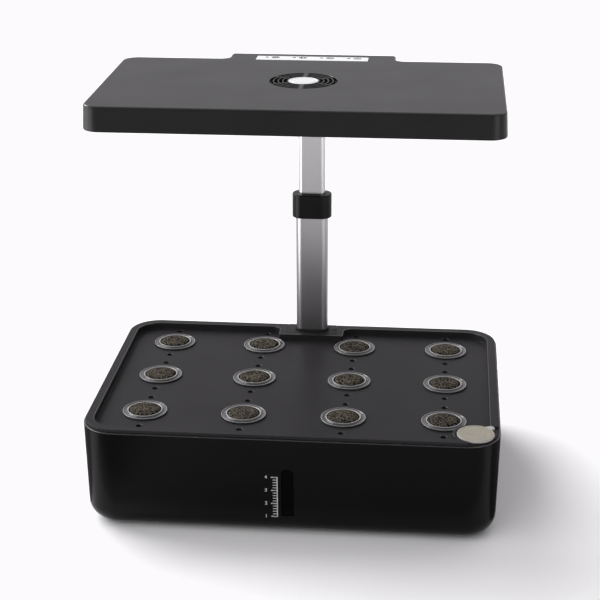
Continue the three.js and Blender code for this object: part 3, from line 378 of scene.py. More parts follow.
sponge_brown = new_finish("grow_sponge", (0.03, 0.026, 0.02), 0.92, ior=1.12)
speckle = vary_colour(sponge_brown, 800, (0.003, 0.0026, 0.0022), (0.1, 0.087, 0.069), detail=3.0)
speckle.color_ramp.elements[0].position, speckle.color_ramp.elements[1].position = 0.44, 0.58
add_grain(sponge_brown, 1100, 6e-4, detail=3.0)

# The cap's rim: lighter than the middle, partly clear silicone and partly a painted highlight.
cap_rim_highlight = new_finish("clear_silicone_rim_painted_highlight", (0.36, 0.345, 0.335), 0.22, ior=1.41)
vary_roughness(cap_rim_highlight, 500, 0.18, 0.28)
silicone_beige = new_finish("beige_silicone", (0.3, 0.275, 0.21), 0.45, ior=1.41)
silicone_beige.node_tree.nodes["Principled BSDF"].inputs["Subsurface Weight"].default_value = 0.15
silicone_beige.node_tree.nodes["Principled BSDF"].inputs["Subsurface Scale"].default_value = 0.002
vary_colour(silicone_beige, 900, (0.24, 0.225, 0.19), (0.345, 0.316, 0.245), detail=2.0)
add_grain(silicone_beige, 1400, 2e-5)

foot_rubber = new_finish("foot_rubber", (0.012, 0.012, 0.012), 0.8)
add_grain(foot_rubber, 1800, 5e-5)

strip_white = new_finish("glossy_white_film", (0.74, 0.735, 0.75), 0.18)
vary_roughness(strip_white, 90, 0.14, 0.22)
disc_white = new_finish("silver_white_disc", (0.62, 0.615, 0.63), 0.32)
vary_roughness(disc_white, 300, 0.26, 0.38)
ink_grey = new_finish("dark_grey_ink", (0.015, 0.015, 0.017), 0.5, ior=1.2)
vary_roughness(ink_grey, 400, 0.42, 0.58)
print_light = new_finish("light_grey_print", (0.42, 0.42, 0.43), 0.5)
vary_roughness(print_light, 500, 0.42, 0.58)

opal_diffuser = new_finish("opal_acrylic", (0.9, 0.9, 0.91), 0.28, ior=1.49)
opal_diffuser.node_tree.nodes["Principled BSDF"].inputs["Transmission Weight"].default_value = 0.8
vary_roughness(opal_diffuser, 200, 0.22, 0.32)
board_white = new_finish("white_lamp_board", (0.74, 0.75, 0.74), 0.5)
vary_colour(board_white, 200, (0.7, 0.71, 0.7), (0.78, 0.79, 0.78))
led_yellow = new_finish("lamp_phosphor", (0.75, 0.6, 0.16), 0.35)
vary_colour(led_yellow, 900, (0.7, 0.54, 0.12), (0.8, 0.66, 0.2))
circuit_green = new_finish("green_circuit_board", (0.02, 0.1, 0.045), 0.35)
vary_colour(circuit_green, 500, (0.015, 0.085, 0.035), (0.03, 0.13, 0.06))
print("materials:", len(bpy.data.materials))

# %% [markdown]
# ## Outlines
#
# Seen from above nearly every piece is a rounded rectangle or a path of lines and arcs. These helpers write such
# paths anticlockwise in millimetres. Growing or shrinking a path by half a millimetre is what rounds an edge:
# the stack of outlines bends over where two faces meet.

# %% Path helpers
CORNER_STEPS = 14


def span(node):
    """A node's lowest and highest corner in millimetres."""
    low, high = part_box(node)
    return low / MM, high / MM


def arc(x, y, radius, start, end, steps=CORNER_STEPS):
    """Points of an arc between two angles in degrees, both ends included."""
    angles = [math.radians(start + (end - start) * step / steps) for step in range(steps + 1)]
    return [Vector((x + radius * math.cos(a), y + radius * math.sin(a))) for a in angles]


def rounded(left, right, front, back, radius, steps=CORNER_STEPS):
    return (
        arc(right - radius, back - radius, radius, 0, 90, steps)
        + arc(left + radius, back - radius, radius, 90, 180, steps)
        + arc(left + radius, front + radius, radius, 180, 270, steps)
        + arc(right - radius, front + radius, radius, 270, 360, steps)
    )


def circle(x, y, radius, steps=64):
    return arc(x, y, radius, 0, 360 - 360 / steps, steps - 1)


def grown(path, distance):
    """The path moved outwards by a small distance, or inwards if it is negative."""
    points = []
    for index, point in enumerate(path):
        before, after = path[index - 1], path[(index + 1) % len(path)]
        side_in = (point - before).normalized()
        side_out = (after - point).normalized()
        normal_in = Vector((side_in.y, -side_in.x))
        normal = (normal_in + Vector((side_out.y, -side_out.x))).normalized()
        points.append(point + normal * (distance / max(normal.dot(normal_in), 0.4)))
    return points


def rounding(path, z, radius, upwards=True, steps=4):
    """Levels of a convex rounded edge that ends flat at height z."""
    levels = []
    for step in range(steps + 1):
        angle = math.radians(90 * step / steps)
        drop = radius * (1 - math.sin(angle))
        levels.append((grown(path, -radius * (1 - math.cos(angle))), z - drop if upwards else z + drop))
    return levels if upwards else levels[::-1]


# %% [markdown]
# ## From outlines to bodies
#
# A loft joins a stack of outlines with equal point counts into one closed body. Booleans then take the holes
# out. A cutter with a flared top leaves a small rounded lip round its hole, which catches the light as a real
# moulded edge does.

# %% Body helpers
def loft(levels, ring=False):
    """A closed body through [(path, z), ...]; a ring joins the last level to the first."""
    body = bmesh.new()
    rows = [[body.verts.new((p.x, p.y, z)) for p in path] for path, z in levels]
    count = len(rows[0])
    pairs = list(zip(rows, rows[1:])) + ([(rows[-1], rows[0])] if ring else [])
    for low, high in pairs:
        for index in range(count):
            after = (index + 1) % count
            body.faces.new((low[index], low[after], high[after], high[index]))
    if not ring:
        body.faces.new(rows[0][::-1])
        body.faces.new(rows[-1])
    bmesh.ops.recalc_face_normals(body, faces=body.faces)
    return body


def turned(profile, x=0.0, y=0.0, steps=64):
    """A body turned round an upright axis from (radius, z) pairs; radius zero closes on the axis."""
    body = bmesh.new()
    rows = []
    for radius, z in profile:
        if radius == 0:
            rows.append([body.verts.new((x, y, z))])
        else:
            rows.append([body.verts.new((p.x, p.y, z)) for p in circle(x, y, radius, steps)])
    closed = profile[0][0] != 0
    for low, high in list(zip(rows, rows[1:])) + ([(rows[-1], rows[0])] if closed else []):
        for index in range(steps):
            after = (index + 1) % steps
            corners = [low[index % len(low)], low[after % len(low)], high[after % len(high)], high[index % len(high)]]
            unique = list(dict.fromkeys(corners))
            body.faces.new(unique)
    bmesh.ops.recalc_face_normals(body, faces=body.faces)
    return body


def as_object(name, body):
    mesh = bpy.data.meshes.new(name)
    body.to_mesh(mesh)
    body.free()
    mesh.transform(Matrix.Scale(MM, 4))
    made = bpy.data.objects.new(name, mesh)
    bpy.context.scene.collection.objects.link(made)
    return made


def settle(made):
    """Replaces an object's mesh by what its modifiers make of it."""
    graph = bpy.context.evaluated_depsgraph_get()
    result = bpy.data.meshes.new_from_object(made.evaluated_get(graph))
    made.modifiers.clear()
    made.data = result
    return made


def combine(made, others, operation="DIFFERENCE"):
    """Cuts or joins other objects, which are used up."""
    for other in others:
        modifier = made.modifiers.new("combine", "BOOLEAN")
        modifier.operation = operation
        modifier.solver = "MANIFOLD"
        modifier.object = other
    settle(made)
    for other in others:
        bpy.data.objects.remove(other)
    return made


def dressed(made, body, material, replaced=(), angle=32):
    """Finishes a piece: smooth shading with sharp corners kept, its material and body; hides the pieces it replaces."""
    made.data.materials.clear()
    made.data.materials.append(material)
    made.data.shade_smooth()
    made.data.set_sharp_from_angle(angle=math.radians(angle))
    weighted = made.modifiers.new("weighted_normals", "WEIGHTED_NORMAL")
    weighted.keep_sharp = True
    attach(made, body)
    if replaced:
        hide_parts(*replaced)
    return made


def paint(made, material, chosen):
    """Gives the faces that a test chooses another material."""
    made.data.materials.append(material)
    for face in made.data.polygons:
        if chosen(face):
            face.material_index = len(made.data.materials) - 1


# %% [markdown]
# ## Geometry Nodes helpers
#
# What repeats is made by a node tree: holes on a grid, marks on a scale, rings of a grille. Each tree is built
# here in the script. Its sizes are named inputs, and its result is baked to a plain mesh.

# %% Node tree helpers
class Tree:
    """A Geometry Nodes tree with named inputs, and shortcuts to add and join nodes."""

    def __init__(self, name, inputs):
        self.group = bpy.data.node_groups.new(name, "GeometryNodeTree")
        face = self.group.interface
        face.new_socket("Geometry", in_out="INPUT", socket_type="NodeSocketGeometry")
        for label, value in inputs.items():
            kind = "NodeSocketInt" if isinstance(value, int) else "NodeSocketFloat"
            face.new_socket(label, in_out="INPUT", socket_type=kind).default_value = value
        face.new_socket("Geometry", in_out="OUTPUT", socket_type="NodeSocketGeometry")
        self.source = self.group.nodes.new("NodeGroupInput")
        self.target = self.group.nodes.new("NodeGroupOutput")

    def add(self, kind, settings=None, **inputs):
        node = self.group.nodes.new(kind)
        for label, value in (settings or {}).items():
            setattr(node, label, value)
        for label, value in inputs.items():
            socket = node.inputs[label.replace("_", " ")]
            if isinstance(value, bpy.types.NodeSocket):
                self.group.links.new(value, socket)
            else:
                socket.default_value = value
        return node

    def given(self, label):
        return self.source.outputs[label]

    def maths(self, operation, first, second):
        node = self.add("ShaderNodeMath", {"operation": operation})
        for index, value in enumerate((first, second)):
            if isinstance(value, bpy.types.NodeSocket):
                self.group.links.new(value, node.inputs[index])
            else:
                node.inputs[index].default_value = value
        return node.outputs[0]

    def finish(self, geometry, material=None):
        real = self.add("GeometryNodeRealizeInstances", Geometry=geometry).outputs[0]
        if material:
            real = self.add("GeometryNodeSetMaterial", Geometry=real, Material=material).outputs[0]
        self.group.links.new(real, self.target.inputs["Geometry"])
        return self.group


def bake(name, group, values=None, points=()):
    """An object made by a tree from a few points, as a plain mesh."""
    mesh = bpy.data.meshes.new(name)
    mesh.from_pydata([Vector(p) * MM for p in points], [], [])
    made = bpy.data.objects.new(name, mesh)
    bpy.context.scene.collection.objects.link(made)
    modifier = made.modifiers.new(group.name, "NODES")
    modifier.node_group = group
    for item in group.interface.items_tree:
        if item.in_out == "INPUT" and item.name in (values or {}):
            modifier[item.identifier] = values[item.name]
    return settle(made)


print("helpers ready")

# %% [markdown]
# ## The tank
#
# The tank is a deep moulded tub. Its walls lean in a little towards the bottom, so that it leaves its mould, and
# the bottom edge is a large soft curve. It is lofted from outlines: up the outside, over the top edge and down
# the inside, so the shell has its real wall.

# %% Tank sizes and outlines
tank_low, tank_high = span("tank")
TANK_CORNER = 30
TANK_WALL = 2.5
TANK_FLOOR = 2.8
TANK_DRAFT_SHARE = 0.021
TANK_FILLET = 15
TANK_EDGE = 0.7
FILLET_STEPS = 10


def tank_outline(z, inset=0.0):
    drawn = inset + (tank_high.z - z) * TANK_DRAFT_SHARE
    return rounded(
        tank_low.x + drawn, tank_high.x - drawn, tank_low.y + drawn, tank_high.y - drawn, TANK_CORNER - drawn, 20
    )


def tank_bottom(z, radius, inset):
    levels = []
    for step in range(FILLET_STEPS + 1):
        angle = math.radians(90 * step / FILLET_STEPS)
        height = z + radius * (1 - math.cos(angle))
        levels.append((tank_outline(height, inset + radius * (1 - math.sin(angle))), height))
    return levels


# %% Tank shell
def build_tank():
    outside = tank_bottom(tank_low.z, TANK_FILLET, 0)
    top = tank_high.z
    edge = [
        (tank_outline(top - TANK_EDGE), top - TANK_EDGE),
        (tank_outline(top, TANK_EDGE * 0.3), top - TANK_EDGE * 0.3),
        (tank_outline(top, TANK_EDGE), top),
        (tank_outline(top, TANK_WALL), top),
    ]
    inside = tank_bottom(tank_low.z + TANK_FLOOR, TANK_FILLET - TANK_WALL, TANK_WALL)[::-1]
    shell = as_object("tank_shell", loft(outside + edge + inside))
    return combine(shell, [window_cutter()] + [foot_cutter(name) for name in FEET])


FEET = ["foot_front_left", "foot_front_right", "foot_back_left", "foot_back_right"]


def foot_cutter(name):
    low, high = span(name)
    middle = (low + high) / 2
    return as_object("foot_pocket", turned([(0, -5), (9.3, -5), (9.3, high.z + 0.3), (0, high.z + 0.3)],
                                           middle.x, middle.y, 48))


WINDOW_WIDTH = 10.4
WINDOW_TOP_RADIUS = 4.4
WINDOW_HEIGHT = 44.3
WINDOW_FLANGE = 2.4
WINDOW_LEAN = math.atan(TANK_DRAFT_SHARE)
window_middle = span("level_window")[0].z + WINDOW_FLANGE + WINDOW_HEIGHT / 2
window_face = tank_low.y + (tank_high.z - window_middle) * TANK_DRAFT_SHARE


def window_path(margin):
    half, top = WINDOW_WIDTH / 2 + margin, WINDOW_HEIGHT / 2 + margin
    radius = WINDOW_TOP_RADIUS + margin
    return (
        arc(half - radius, top - radius, radius, 0, 90, 12)
        + arc(radius - half, top - radius, radius, 90, 180, 12)
        + [Vector((-half, -top)), Vector((half, -top))]
    )


def on_front_wall(made):
    """Stands a piece that was built flat on the leaning front wall, its own height pointing outwards."""
    turn = Matrix.Rotation(math.radians(90) + WINDOW_LEAN, 4, "X")
    made.data.transform(Matrix.Translation(Vector((0, window_face, window_middle)) * MM) @ turn)
    return made


def window_cutter():
    hole, mouth = window_path(0.0), window_path(0.4)
    return on_front_wall(as_object("window_cutter", loft([(hole, -6), (hole, -0.4), (mouth, 0.0), (mouth, 3)])))


tank_shell = dressed(build_tank(), "base", tank_black, ["tank"])
# The faces of the tank's top edge are painted lighter: a painted highlight.
paint(tank_shell, tank_edge_highlight, lambda face: face.normal.z > 0.1 and face.center.z > (tank_high.z - TANK_EDGE) * MM)
print("tank faces:", len(tank_shell.data.polygons))

# %% [markdown]
# ## Level window and feet
#
# The window is a smoked pane with a flange behind the wall. The four feet are rubber discs with a worn round
# edge. Both are turned or lofted directly, because they are simple.

# %% Window pane and feet
def build_window():
    pane = window_path(-0.3)
    stack = rounding(pane, -0.8, 0.3)[::-1] + [(pane, -2.8), (window_path(WINDOW_FLANGE), -2.8)]
    return on_front_wall(as_object("window_pane", loft(stack + [(window_path(WINDOW_FLANGE), -4.0)])))


dressed(build_window(), "base", window_smoke, ["level_window"])
for name in FEET:
    low, high = span(name)
    middle = (low + high) / 2
    radius = (high.x - low.x) / 2
    profile = [(0, 0), (radius - 0.8, 0), (radius - 0.2, 0.25), (radius, 0.9), (radius, high.z), (0, high.z)]
    foot = as_object(name + "_rubber", turned(profile, middle.x, middle.y, 48))
    dressed(foot, "base", foot_rubber, [name])
print("window and feet done")

# %% [markdown]
# ## Level scale
#
# A printed scale stands left of the window: a line, a long mark for each litre and a short one for every fifth
# of it, with plain numbers. The marks repeat evenly, so a tree sets them on a row of points.

# %% Level scale
SCALE_DROP = 7.25
SCALE_STEP = 12.6
SCALE_LITRES = 3
SCALE_PARTS = 5
SCALE_LINE = (-9.05, 0.9)
MARK_LONG = 4.9
MARK_SHORT = 3.4
MARK_WEIGHT = 0.95
PRINT_LIFT = 0.06
DIGIT_HEIGHT = 3.0
DIGIT_X = -18.25


def mark_tree():
    tree = Tree("scale_marks", {"Length": 0.003, "Weight": 0.001, "Lift": 0.0001, "Count": 4, "Step": 0.01})
    size = tree.add("ShaderNodeCombineXYZ", X=tree.given("Length"), Y=tree.given("Weight"), Z=tree.given("Lift"))
    bar = tree.add("GeometryNodeMeshCube", Size=size.outputs[0])
    half = tree.maths("MULTIPLY", tree.given("Length"), -0.5)
    shift = tree.add("ShaderNodeCombineXYZ", X=half)
    moved = tree.add("GeometryNodeTransform", Geometry=bar.outputs[0], Translation=shift.outputs[0])
    down = tree.add("ShaderNodeCombineXYZ", Y=tree.maths("MULTIPLY", tree.given("Step"), -1.0))
    row = tree.add("GeometryNodeMeshLine", Count=tree.given("Count"), Offset=down.outputs[0])
    marks = tree.add("GeometryNodeInstanceOnPoints", Points=row.outputs[0], Instance=moved.outputs[0])
    return tree.finish(marks.outputs[0], print_light)


def scale_digit(text, x, y):
    curve = bpy.data.curves.new("digit", "FONT")
    curve.body = text
    curve.size = DIGIT_HEIGHT * MM / 0.7
    curve.align_x = "CENTER"
    curve.align_y = "CENTER"
    curve.extrude = PRINT_LIFT * MM / 2
    curve.offset = 0.08 * MM
    digit = bpy.data.objects.new("digit", curve)
    bpy.context.scene.collection.objects.link(digit)
    bpy.context.view_layer.update()
    graph = bpy.context.evaluated_depsgraph_get()
    mesh = bpy.data.meshes.new_from_object(digit.evaluated_get(graph))
    mesh.transform(Matrix.Translation(Vector((x, y, 0)) * MM))
    bpy.data.objects.remove(digit)
    made = bpy.data.objects.new("digit_mesh", mesh)
    bpy.context.scene.collection.objects.link(made)
    return made


def join(first, others):
    """Several objects' meshes as one object."""
    body = bmesh.new()
    for made in [first] + others:
        body.from_mesh(made.data)
    body.to_mesh(first.data)
    body.free()
    for other in others:
        bpy.data.objects.remove(other)
    return first


def build_scale():
    group = mark_tree()
    top = WINDOW_HEIGHT / 2 - SCALE_DROP
    step = SCALE_STEP / SCALE_PARTS
    long_marks = bake("scale", group, {"Length": MARK_LONG * MM, "Weight": MARK_WEIGHT * MM,
                                       "Lift": PRINT_LIFT * MM, "Count": SCALE_LITRES + 1, "Step": SCALE_STEP * MM})
    short_marks = bake("short", group, {"Length": MARK_SHORT * MM, "Weight": MARK_WEIGHT * MM * 0.7,
                                        "Lift": PRINT_LIFT * MM, "Count": SCALE_LITRES * SCALE_PARTS + 1,
                                        "Step": step * MM})
    length = SCALE_LITRES * SCALE_STEP + MARK_WEIGHT
    line = bake("line", group, {"Length": SCALE_LINE[1] * MM, "Weight": length * MM, "Lift": PRINT_LIFT * MM,
                                "Count": 1, "Step": 0.0})
    line.data.transform(Matrix.Translation(Vector((SCALE_LINE[1], -length / 2 + MARK_WEIGHT / 2, 0)) * MM))
    marks = join(long_marks, [short_marks, line])
    marks.data.transform(Matrix.Translation(Vector((SCALE_LINE[0], top, 0)) * MM))
    digits = [scale_digit(str(SCALE_LITRES + 1 - n), DIGIT_X, top - n * SCALE_STEP) for n in range(SCALE_LITRES + 1)]
    scale = join(marks, digits)
    scale.name = "level_scale"
    scale.data.transform(Matrix.Translation((0, 0, PRINT_LIFT * MM / 2)))
    return on_front_wall(scale)


dressed(build_scale(), "base", print_light)
print("scale done")

# %% [markdown]
# ## The deck
#
# The deck is the tank's lid: a narrow rim, and inside it a sunk surface that carries the plants. Its sunk
# outline isn't a plain rectangle, because the raised plinth of the mast and the round boss of the fill port
# push into it. So the outline is walked once round with lines and arcs, and the hollow is cut with it.

# %% Deck outlines
deck_low, deck_high = span("deck")
RIM_CORNER = 28.5
RIM_THICKNESS = 2.6
RECESS_DEPTH = 6.4
RECESS_X = 170.3
RECESS_FRONT = -124.9
RECESS_BACK = 114.0
RECESS_CORNER = 20.8
DECK_WALL = 2.2
PLINTH_HALF = 31.3
PLINTH_FRONT = 94.6
PLINTH_FILLET = 7.5
PLINTH_CORNER = 2.0
PORT = Vector((158.0, -114.3))
BOSS_RADIUS = 19.5
surface_z = deck_high.z - RECESS_DEPTH
plate_z = deck_low.z


def recess_path():
    reach_y = math.sqrt(BOSS_RADIUS ** 2 - (RECESS_X - PORT.x) ** 2)
    reach_x = math.sqrt(BOSS_RADIUS ** 2 - (RECESS_FRONT - PORT.y) ** 2)
    boss_start = 180 + math.degrees(math.atan2(PORT.y - RECESS_FRONT, reach_x))
    boss_end = math.degrees(math.atan2(reach_y, RECESS_X - PORT.x))
    side, corner = RECESS_X - RECESS_CORNER, RECESS_CORNER
    hollow_x, hollow_y = PLINTH_HALF + PLINTH_FILLET, RECESS_BACK - PLINTH_FILLET
    edge_x, edge_y = PLINTH_HALF - PLINTH_CORNER, PLINTH_FRONT + PLINTH_CORNER
    return (
        arc(-side, RECESS_FRONT + corner, corner, 180, 270)
        + arc(PORT.x, PORT.y, BOSS_RADIUS, boss_start, boss_end, 30)
        + arc(side, RECESS_BACK - corner, corner, 0, 90)
        + arc(hollow_x, hollow_y, PLINTH_FILLET, 90, 180, 10)
        + arc(edge_x, edge_y, PLINTH_CORNER, 0, -90, 6)
        + arc(-edge_x, edge_y, PLINTH_CORNER, -90, -180, 6)
        + arc(-hollow_x, hollow_y, PLINTH_FILLET, 0, 90, 10)
        + arc(-side, RECESS_BACK - corner, corner, 90, 180)
    )


# %% [markdown]
# ### Holes in the deck
#
# Twelve basket holes and twenty-four air holes repeat on a grid. One tree sets the same round cutter on every
# point. It is baked twice for each kind of hole: once straight, for the hole, and once as a short cone, for the
# small slope at its mouth that catches the light.

# %% Hole cutters
POD_X, POD_Y = 87.4, 79.3
POD_COLUMNS, POD_ROWS = 4, 3
POD_HOLE = 17.2
VENT_RADIUS = 2.75
VENT_OFFSET = 29.8
HOLE_DEPTH = 14


def hole_tree():
    tree = Tree("round_holes", {"Bottom": 0.01, "Top": 0.01, "Depth": 0.01, "Facets": 32})
    cone = tree.add("GeometryNodeMeshCone", Vertices=tree.given("Facets"), Radius_Bottom=tree.given("Bottom"),
                    Radius_Top=tree.given("Top"), Depth=tree.given("Depth"))
    down = tree.add("ShaderNodeCombineXYZ", Z=tree.maths("MULTIPLY", tree.given("Depth"), -0.5))
    centred_cone = tree.add("GeometryNodeTransform", Geometry=cone.outputs[0], Translation=down.outputs[0])
    holes = tree.add("GeometryNodeInstanceOnPoints", Points=tree.given("Geometry"), Instance=centred_cone.outputs[0])
    return tree.finish(holes.outputs[0])


def hole_cutters(name, group, places, radius, flare, facets):
    """The straight and the sloped cutters of one kind of hole."""
    shaft = {"Bottom": radius * MM, "Top": radius * MM, "Depth": HOLE_DEPTH * MM, "Facets": facets}
    mouth = {"Bottom": radius * MM, "Top": (radius + 2 * flare) * MM, "Depth": 2 * flare * MM, "Facets": facets}
    return [bake(name, group, shaft, places), bake(name + "_mouth", group, mouth, places)]


def pod_places():
    return [
        Vector(((column - (POD_COLUMNS - 1) / 2) * POD_X, ((POD_ROWS - 1) / 2 - row) * POD_Y))
        for row in range(POD_ROWS)
        for column in range(POD_COLUMNS)
    ]


holes = hole_tree()
print("basket places:", len(pod_places()))

# %% [markdown]
# ### The deck's body
#
# The rim plate, the tub under it and the skirt that centres the lid in the tank are joined. Then the hollow, the
# notch for the mast's socket, the low pad round the fill cap and all holes are cut.

# %% Deck body
SKIRT_INSET = 1.8
SKIRT_THICKNESS = 2.2
SKIRT_DEPTH = 4
RIM_EDGE = 0.7
EDGE_ZONE = 1.2
NOTCH_HALF = 24.0
NOTCH_FRONT = 98.4
PAD_SINK = 1.6
PAD_RADIUS = 16.9
PAD_LEFT = 152.0
PAD_BACK = -98.0
PORT_RADIUS = 12.5
PORT_WALL = 2.0


def recess_cutter():
    path = recess_path()
    top = deck_high.z
    return as_object("recess_cutter", loft([
        (grown(path, -1.5), surface_z),
        (grown(path, -0.75), surface_z + 0.2),
        (grown(path, -0.35), surface_z + 0.75),
        (grown(path, -0.1), surface_z + 3),
        (path, top - 0.7),
        (grown(path, 0.2), top - 0.22),
        (grown(path, 0.7), top),
        (grown(path, 0.7), top + 3),
    ]))


def pad_cutters():
    low = deck_high.z - PAD_SINK
    pocket = turned([(0, low), (PAD_RADIUS, low), (PAD_RADIUS, low + 6), (0, low + 6)], PORT.x, PORT.y)
    corner = rounded(PAD_LEFT, deck_high.x + 5, deck_low.y - 5, PAD_BACK, 0.6, 3)
    port = turned([(0, plate_z - 6), (PORT_RADIUS, plate_z - 6), (PORT_RADIUS, low + 6), (0, low + 6)],
                  PORT.x, PORT.y)
    return [
        as_object("pad_pocket", pocket),
        as_object("pad_corner", loft([(corner, low), (corner, low + 6)])),
        as_object("port_hole", port),
    ]


def build_deck():
    rim = rounded(deck_low.x, deck_high.x, deck_low.y, deck_high.y, RIM_CORNER, 20)
    under = deck_high.z - RIM_THICKNESS
    deck = as_object("planting_deck", loft([(grown(rim, -0.3), under), (rim, under + 0.3)]
                                           + rounding(rim, deck_high.z, RIM_EDGE)))
    tub = grown(recess_path(), DECK_WALL)
    skirt = grown(rim, -SKIRT_INSET)
    inner = grown(skirt, -SKIRT_THICKNESS)
    low = under - SKIRT_DEPTH
    boss = turned([(PORT_RADIUS - 0.5, plate_z), (PORT_RADIUS + PORT_WALL, plate_z),
                   (PORT_RADIUS + PORT_WALL, under + 0.5), (PORT_RADIUS - 0.5, under + 0.5)], PORT.x, PORT.y)
    combine(deck, [
        as_object("tub", loft([(tub, plate_z), (tub, under + 0.5)])),
        as_object("skirt", loft([(skirt, low), (skirt, under + 0.5), (inner, under + 0.5), (inner, low)], ring=True)),
        as_object("boss", boss),
    ], "UNION")
    notch = rounded(-NOTCH_HALF, NOTCH_HALF, NOTCH_FRONT, deck_high.y + 9, 1.0, 4)
    pods = [(p.x, p.y, surface_z) for p in pod_places()]
    vents = [(p.x, p.y + side * VENT_OFFSET, surface_z) for p in pod_places() for side in (-1, 1)]
    cutters = [
        recess_cutter(),
        as_object("notch", loft([(notch, low - 6), (notch, deck_high.z - 0.1), (grown(notch, 0.1), deck_high.z),
                                 (grown(notch, 0.1), deck_high.z + 3)])),
    ]
    cutters += hole_cutters("pod_holes", holes, pods, POD_HOLE, 0.4, 64)
    cutters += hole_cutters("vents", holes, vents, VENT_RADIUS, 0.3, 24)
    return combine(deck, cutters + pad_cutters())


planting_deck = dressed(build_deck(), "deck", deck_grey, ["deck"], angle=28)


def inner_edge(face):
    """The round edges of the hollow and of the holes, but not the rim's outer edge."""
    x, y, z = face.center / MM
    beyond = Vector((max(0, abs(x) - deck_high.x + RIM_CORNER), max(0, abs(y) - deck_high.y + RIM_CORNER)))
    inside = beyond.length < RIM_CORNER - 1
    return inside and 0.12 < face.normal.z < 0.97 and (z > deck_high.z - EDGE_ZONE or z < surface_z)


paint(planting_deck, deck_edge, inner_edge)
triangles = planting_deck.modifiers.new("triangles", "TRIANGULATE")
triangles.min_vertices = 5
triangles.keep_custom_normals = True
print("deck faces:", len(planting_deck.data.polygons))

# %% [markdown]
# ## Fill cap
#
# A soft silicone disc with a finger tab. Its edge is thin and clear, and its rim is painted lighter than the
# middle, partly for that clear edge and partly as a painted highlight.
# Disc and tab are one body with a rolled edge.

# %% Fill cap
cap_low, cap_high = span("fill_cap")
CAP_RADIUS = 16.0
CAP_TAB_REACH = 5.2
CAP_TAB_WIDTH = 6.8
CAP_TAB_ANGLE = 44
CAP_MIDDLE = 15.3
CAP_PLUG = 12.2
CAP_DISC = 2.2


def build_cap():
    top, under = cap_high.z, cap_high.z - CAP_DISC
    half = CAP_TAB_WIDTH / 2
    tip = CAP_RADIUS + CAP_TAB_REACH - half
    opening = math.degrees(math.asin((half + 1.2) / CAP_RADIUS))
    path = arc(0, 0, CAP_RADIUS, opening, 360 - opening, 70) + arc(tip, 0, half, -90, 90, 16)
    turn = Matrix.Rotation(math.radians(CAP_TAB_ANGLE), 2)
    path = [turn @ p + PORT for p in path]
    disc = as_object("port_cap", loft(rounding(path, under, 0.8, upwards=False) + rounding(path, top, 0.9)))
    sunk = turned([(0, top - 0.25), (13.2, top - 0.25), (13.9, top - 0.15), (14.3, top + 1), (0, top + 1)],
                  PORT.x, PORT.y, 72)
    combine(disc, [as_object("cap_hollow", sunk)])
    plug = turned([(CAP_PLUG - 2, cap_low.z), (CAP_PLUG - 0.4, cap_low.z), (CAP_PLUG, cap_low.z + 0.8),
                   (CAP_PLUG, under + 0.5), (CAP_PLUG - 2, under + 0.5)], PORT.x, PORT.y)
    return combine(disc, [as_object("plug", plug)], "UNION")


port_cap = dressed(build_cap(), "cap", silicone_beige, ["fill_cap"], angle=50)
# Faces outside the middle are painted lighter: partly the clear edge, partly a painted highlight.
paint(port_cap, cap_rim_highlight, lambda face: (face.center.xy / MM - PORT).length > CAP_MIDDLE)
print("cap faces:", len(port_cap.data.polygons))

# %% [markdown]
# ## Grow baskets
#
# Each basket hangs in its hole by a flange: a rounded outer bead, a groove, a flat band and a raised lip round the
# sponge. The bead and the lip are painted lighter than the band: painted highlights. The cup below has four
# slots for the roots. The basket is turned from one profile, and the slots are cut out.

# %% Basket profile and slots
BASKET_RIM = 19.75
BASKET_DEPTH = 48
BASKET_FOOT = 12.5
BASKET_SLOT = (6.0, 26.0, 8.0)
BEAD_HIGHLIGHT_ZONE = (18.7, 19.6)
LIP_HIGHLIGHT_ZONE = (14.4, 15.6)


def basket_profile(base):
    low = base - BASKET_DEPTH
    return [
        (7.0, low), (BASKET_FOOT + 0.6, low), (BASKET_FOOT + 1, low + 0.5), (16.3, base + 0.1), (16.5, base + 0.3),
        (BASKET_RIM - 0.35, base + 0.3), (BASKET_RIM, base + 0.6), (BASKET_RIM, base + 1.05),
        (BASKET_RIM - 0.2, base + 1.45), (BASKET_RIM - 0.6, base + 1.6), (BASKET_RIM - 1.0, base + 1.45),
        (BASKET_RIM - 1.25, base + 1.0), (BASKET_RIM - 1.6, base + 0.8), (16.4, base + 0.85), (16.05, base + 1.05),
        (15.85, base + 1.7), (15.5, base + 2.1), (15.0, base + 2.25), (14.55, base + 2.1), (14.3, base + 1.7),
        (14.2, base + 0.5), (11.5, low + 1.6), (7.0, low + 1.6),
    ]


def slot_cutter(place, base, turn):
    width, height, foot = BASKET_SLOT
    low = base - BASKET_DEPTH + foot
    half = width / 2
    path = [turn @ p + place for p in rounded(-20, 20, -half, half, 1.2, 4)]
    return as_object("slot", loft([(path, low), (path, low + height)]))


def paint_basket_highlights(basket, place):
    """The bead and the lip are painted lighter than the band between them: painted highlights."""
    for material, (inner, outer) in ((bead_highlight, BEAD_HIGHLIGHT_ZONE), (lip_highlight, LIP_HIGHLIGHT_ZONE)):
        paint(basket, material, lambda face: face.normal.z > 0.3
              and inner < (face.center.xy / MM - place).length < outer)


def build_basket(number, place):
    basket = as_object(f"grow_basket_{number}", turned(basket_profile(surface_z), place.x, place.y, 96))
    turns = [Matrix.Rotation(math.radians(angle), 2) for angle in (0, 90)]
    return combine(basket, [slot_cutter(place, surface_z, turn) for turn in turns])


# %% [markdown]
# ## Grow sponges
#
# A sponge is a plug of coarse brown foam with a domed top. Its pores are real relief: a tree pushes the dome's
# points in and out with a fine noise, with another seed for each pod.

# %% Sponge tree
SPONGE_RADIUS = 13.8
SPONGE_CROWN = 3.9


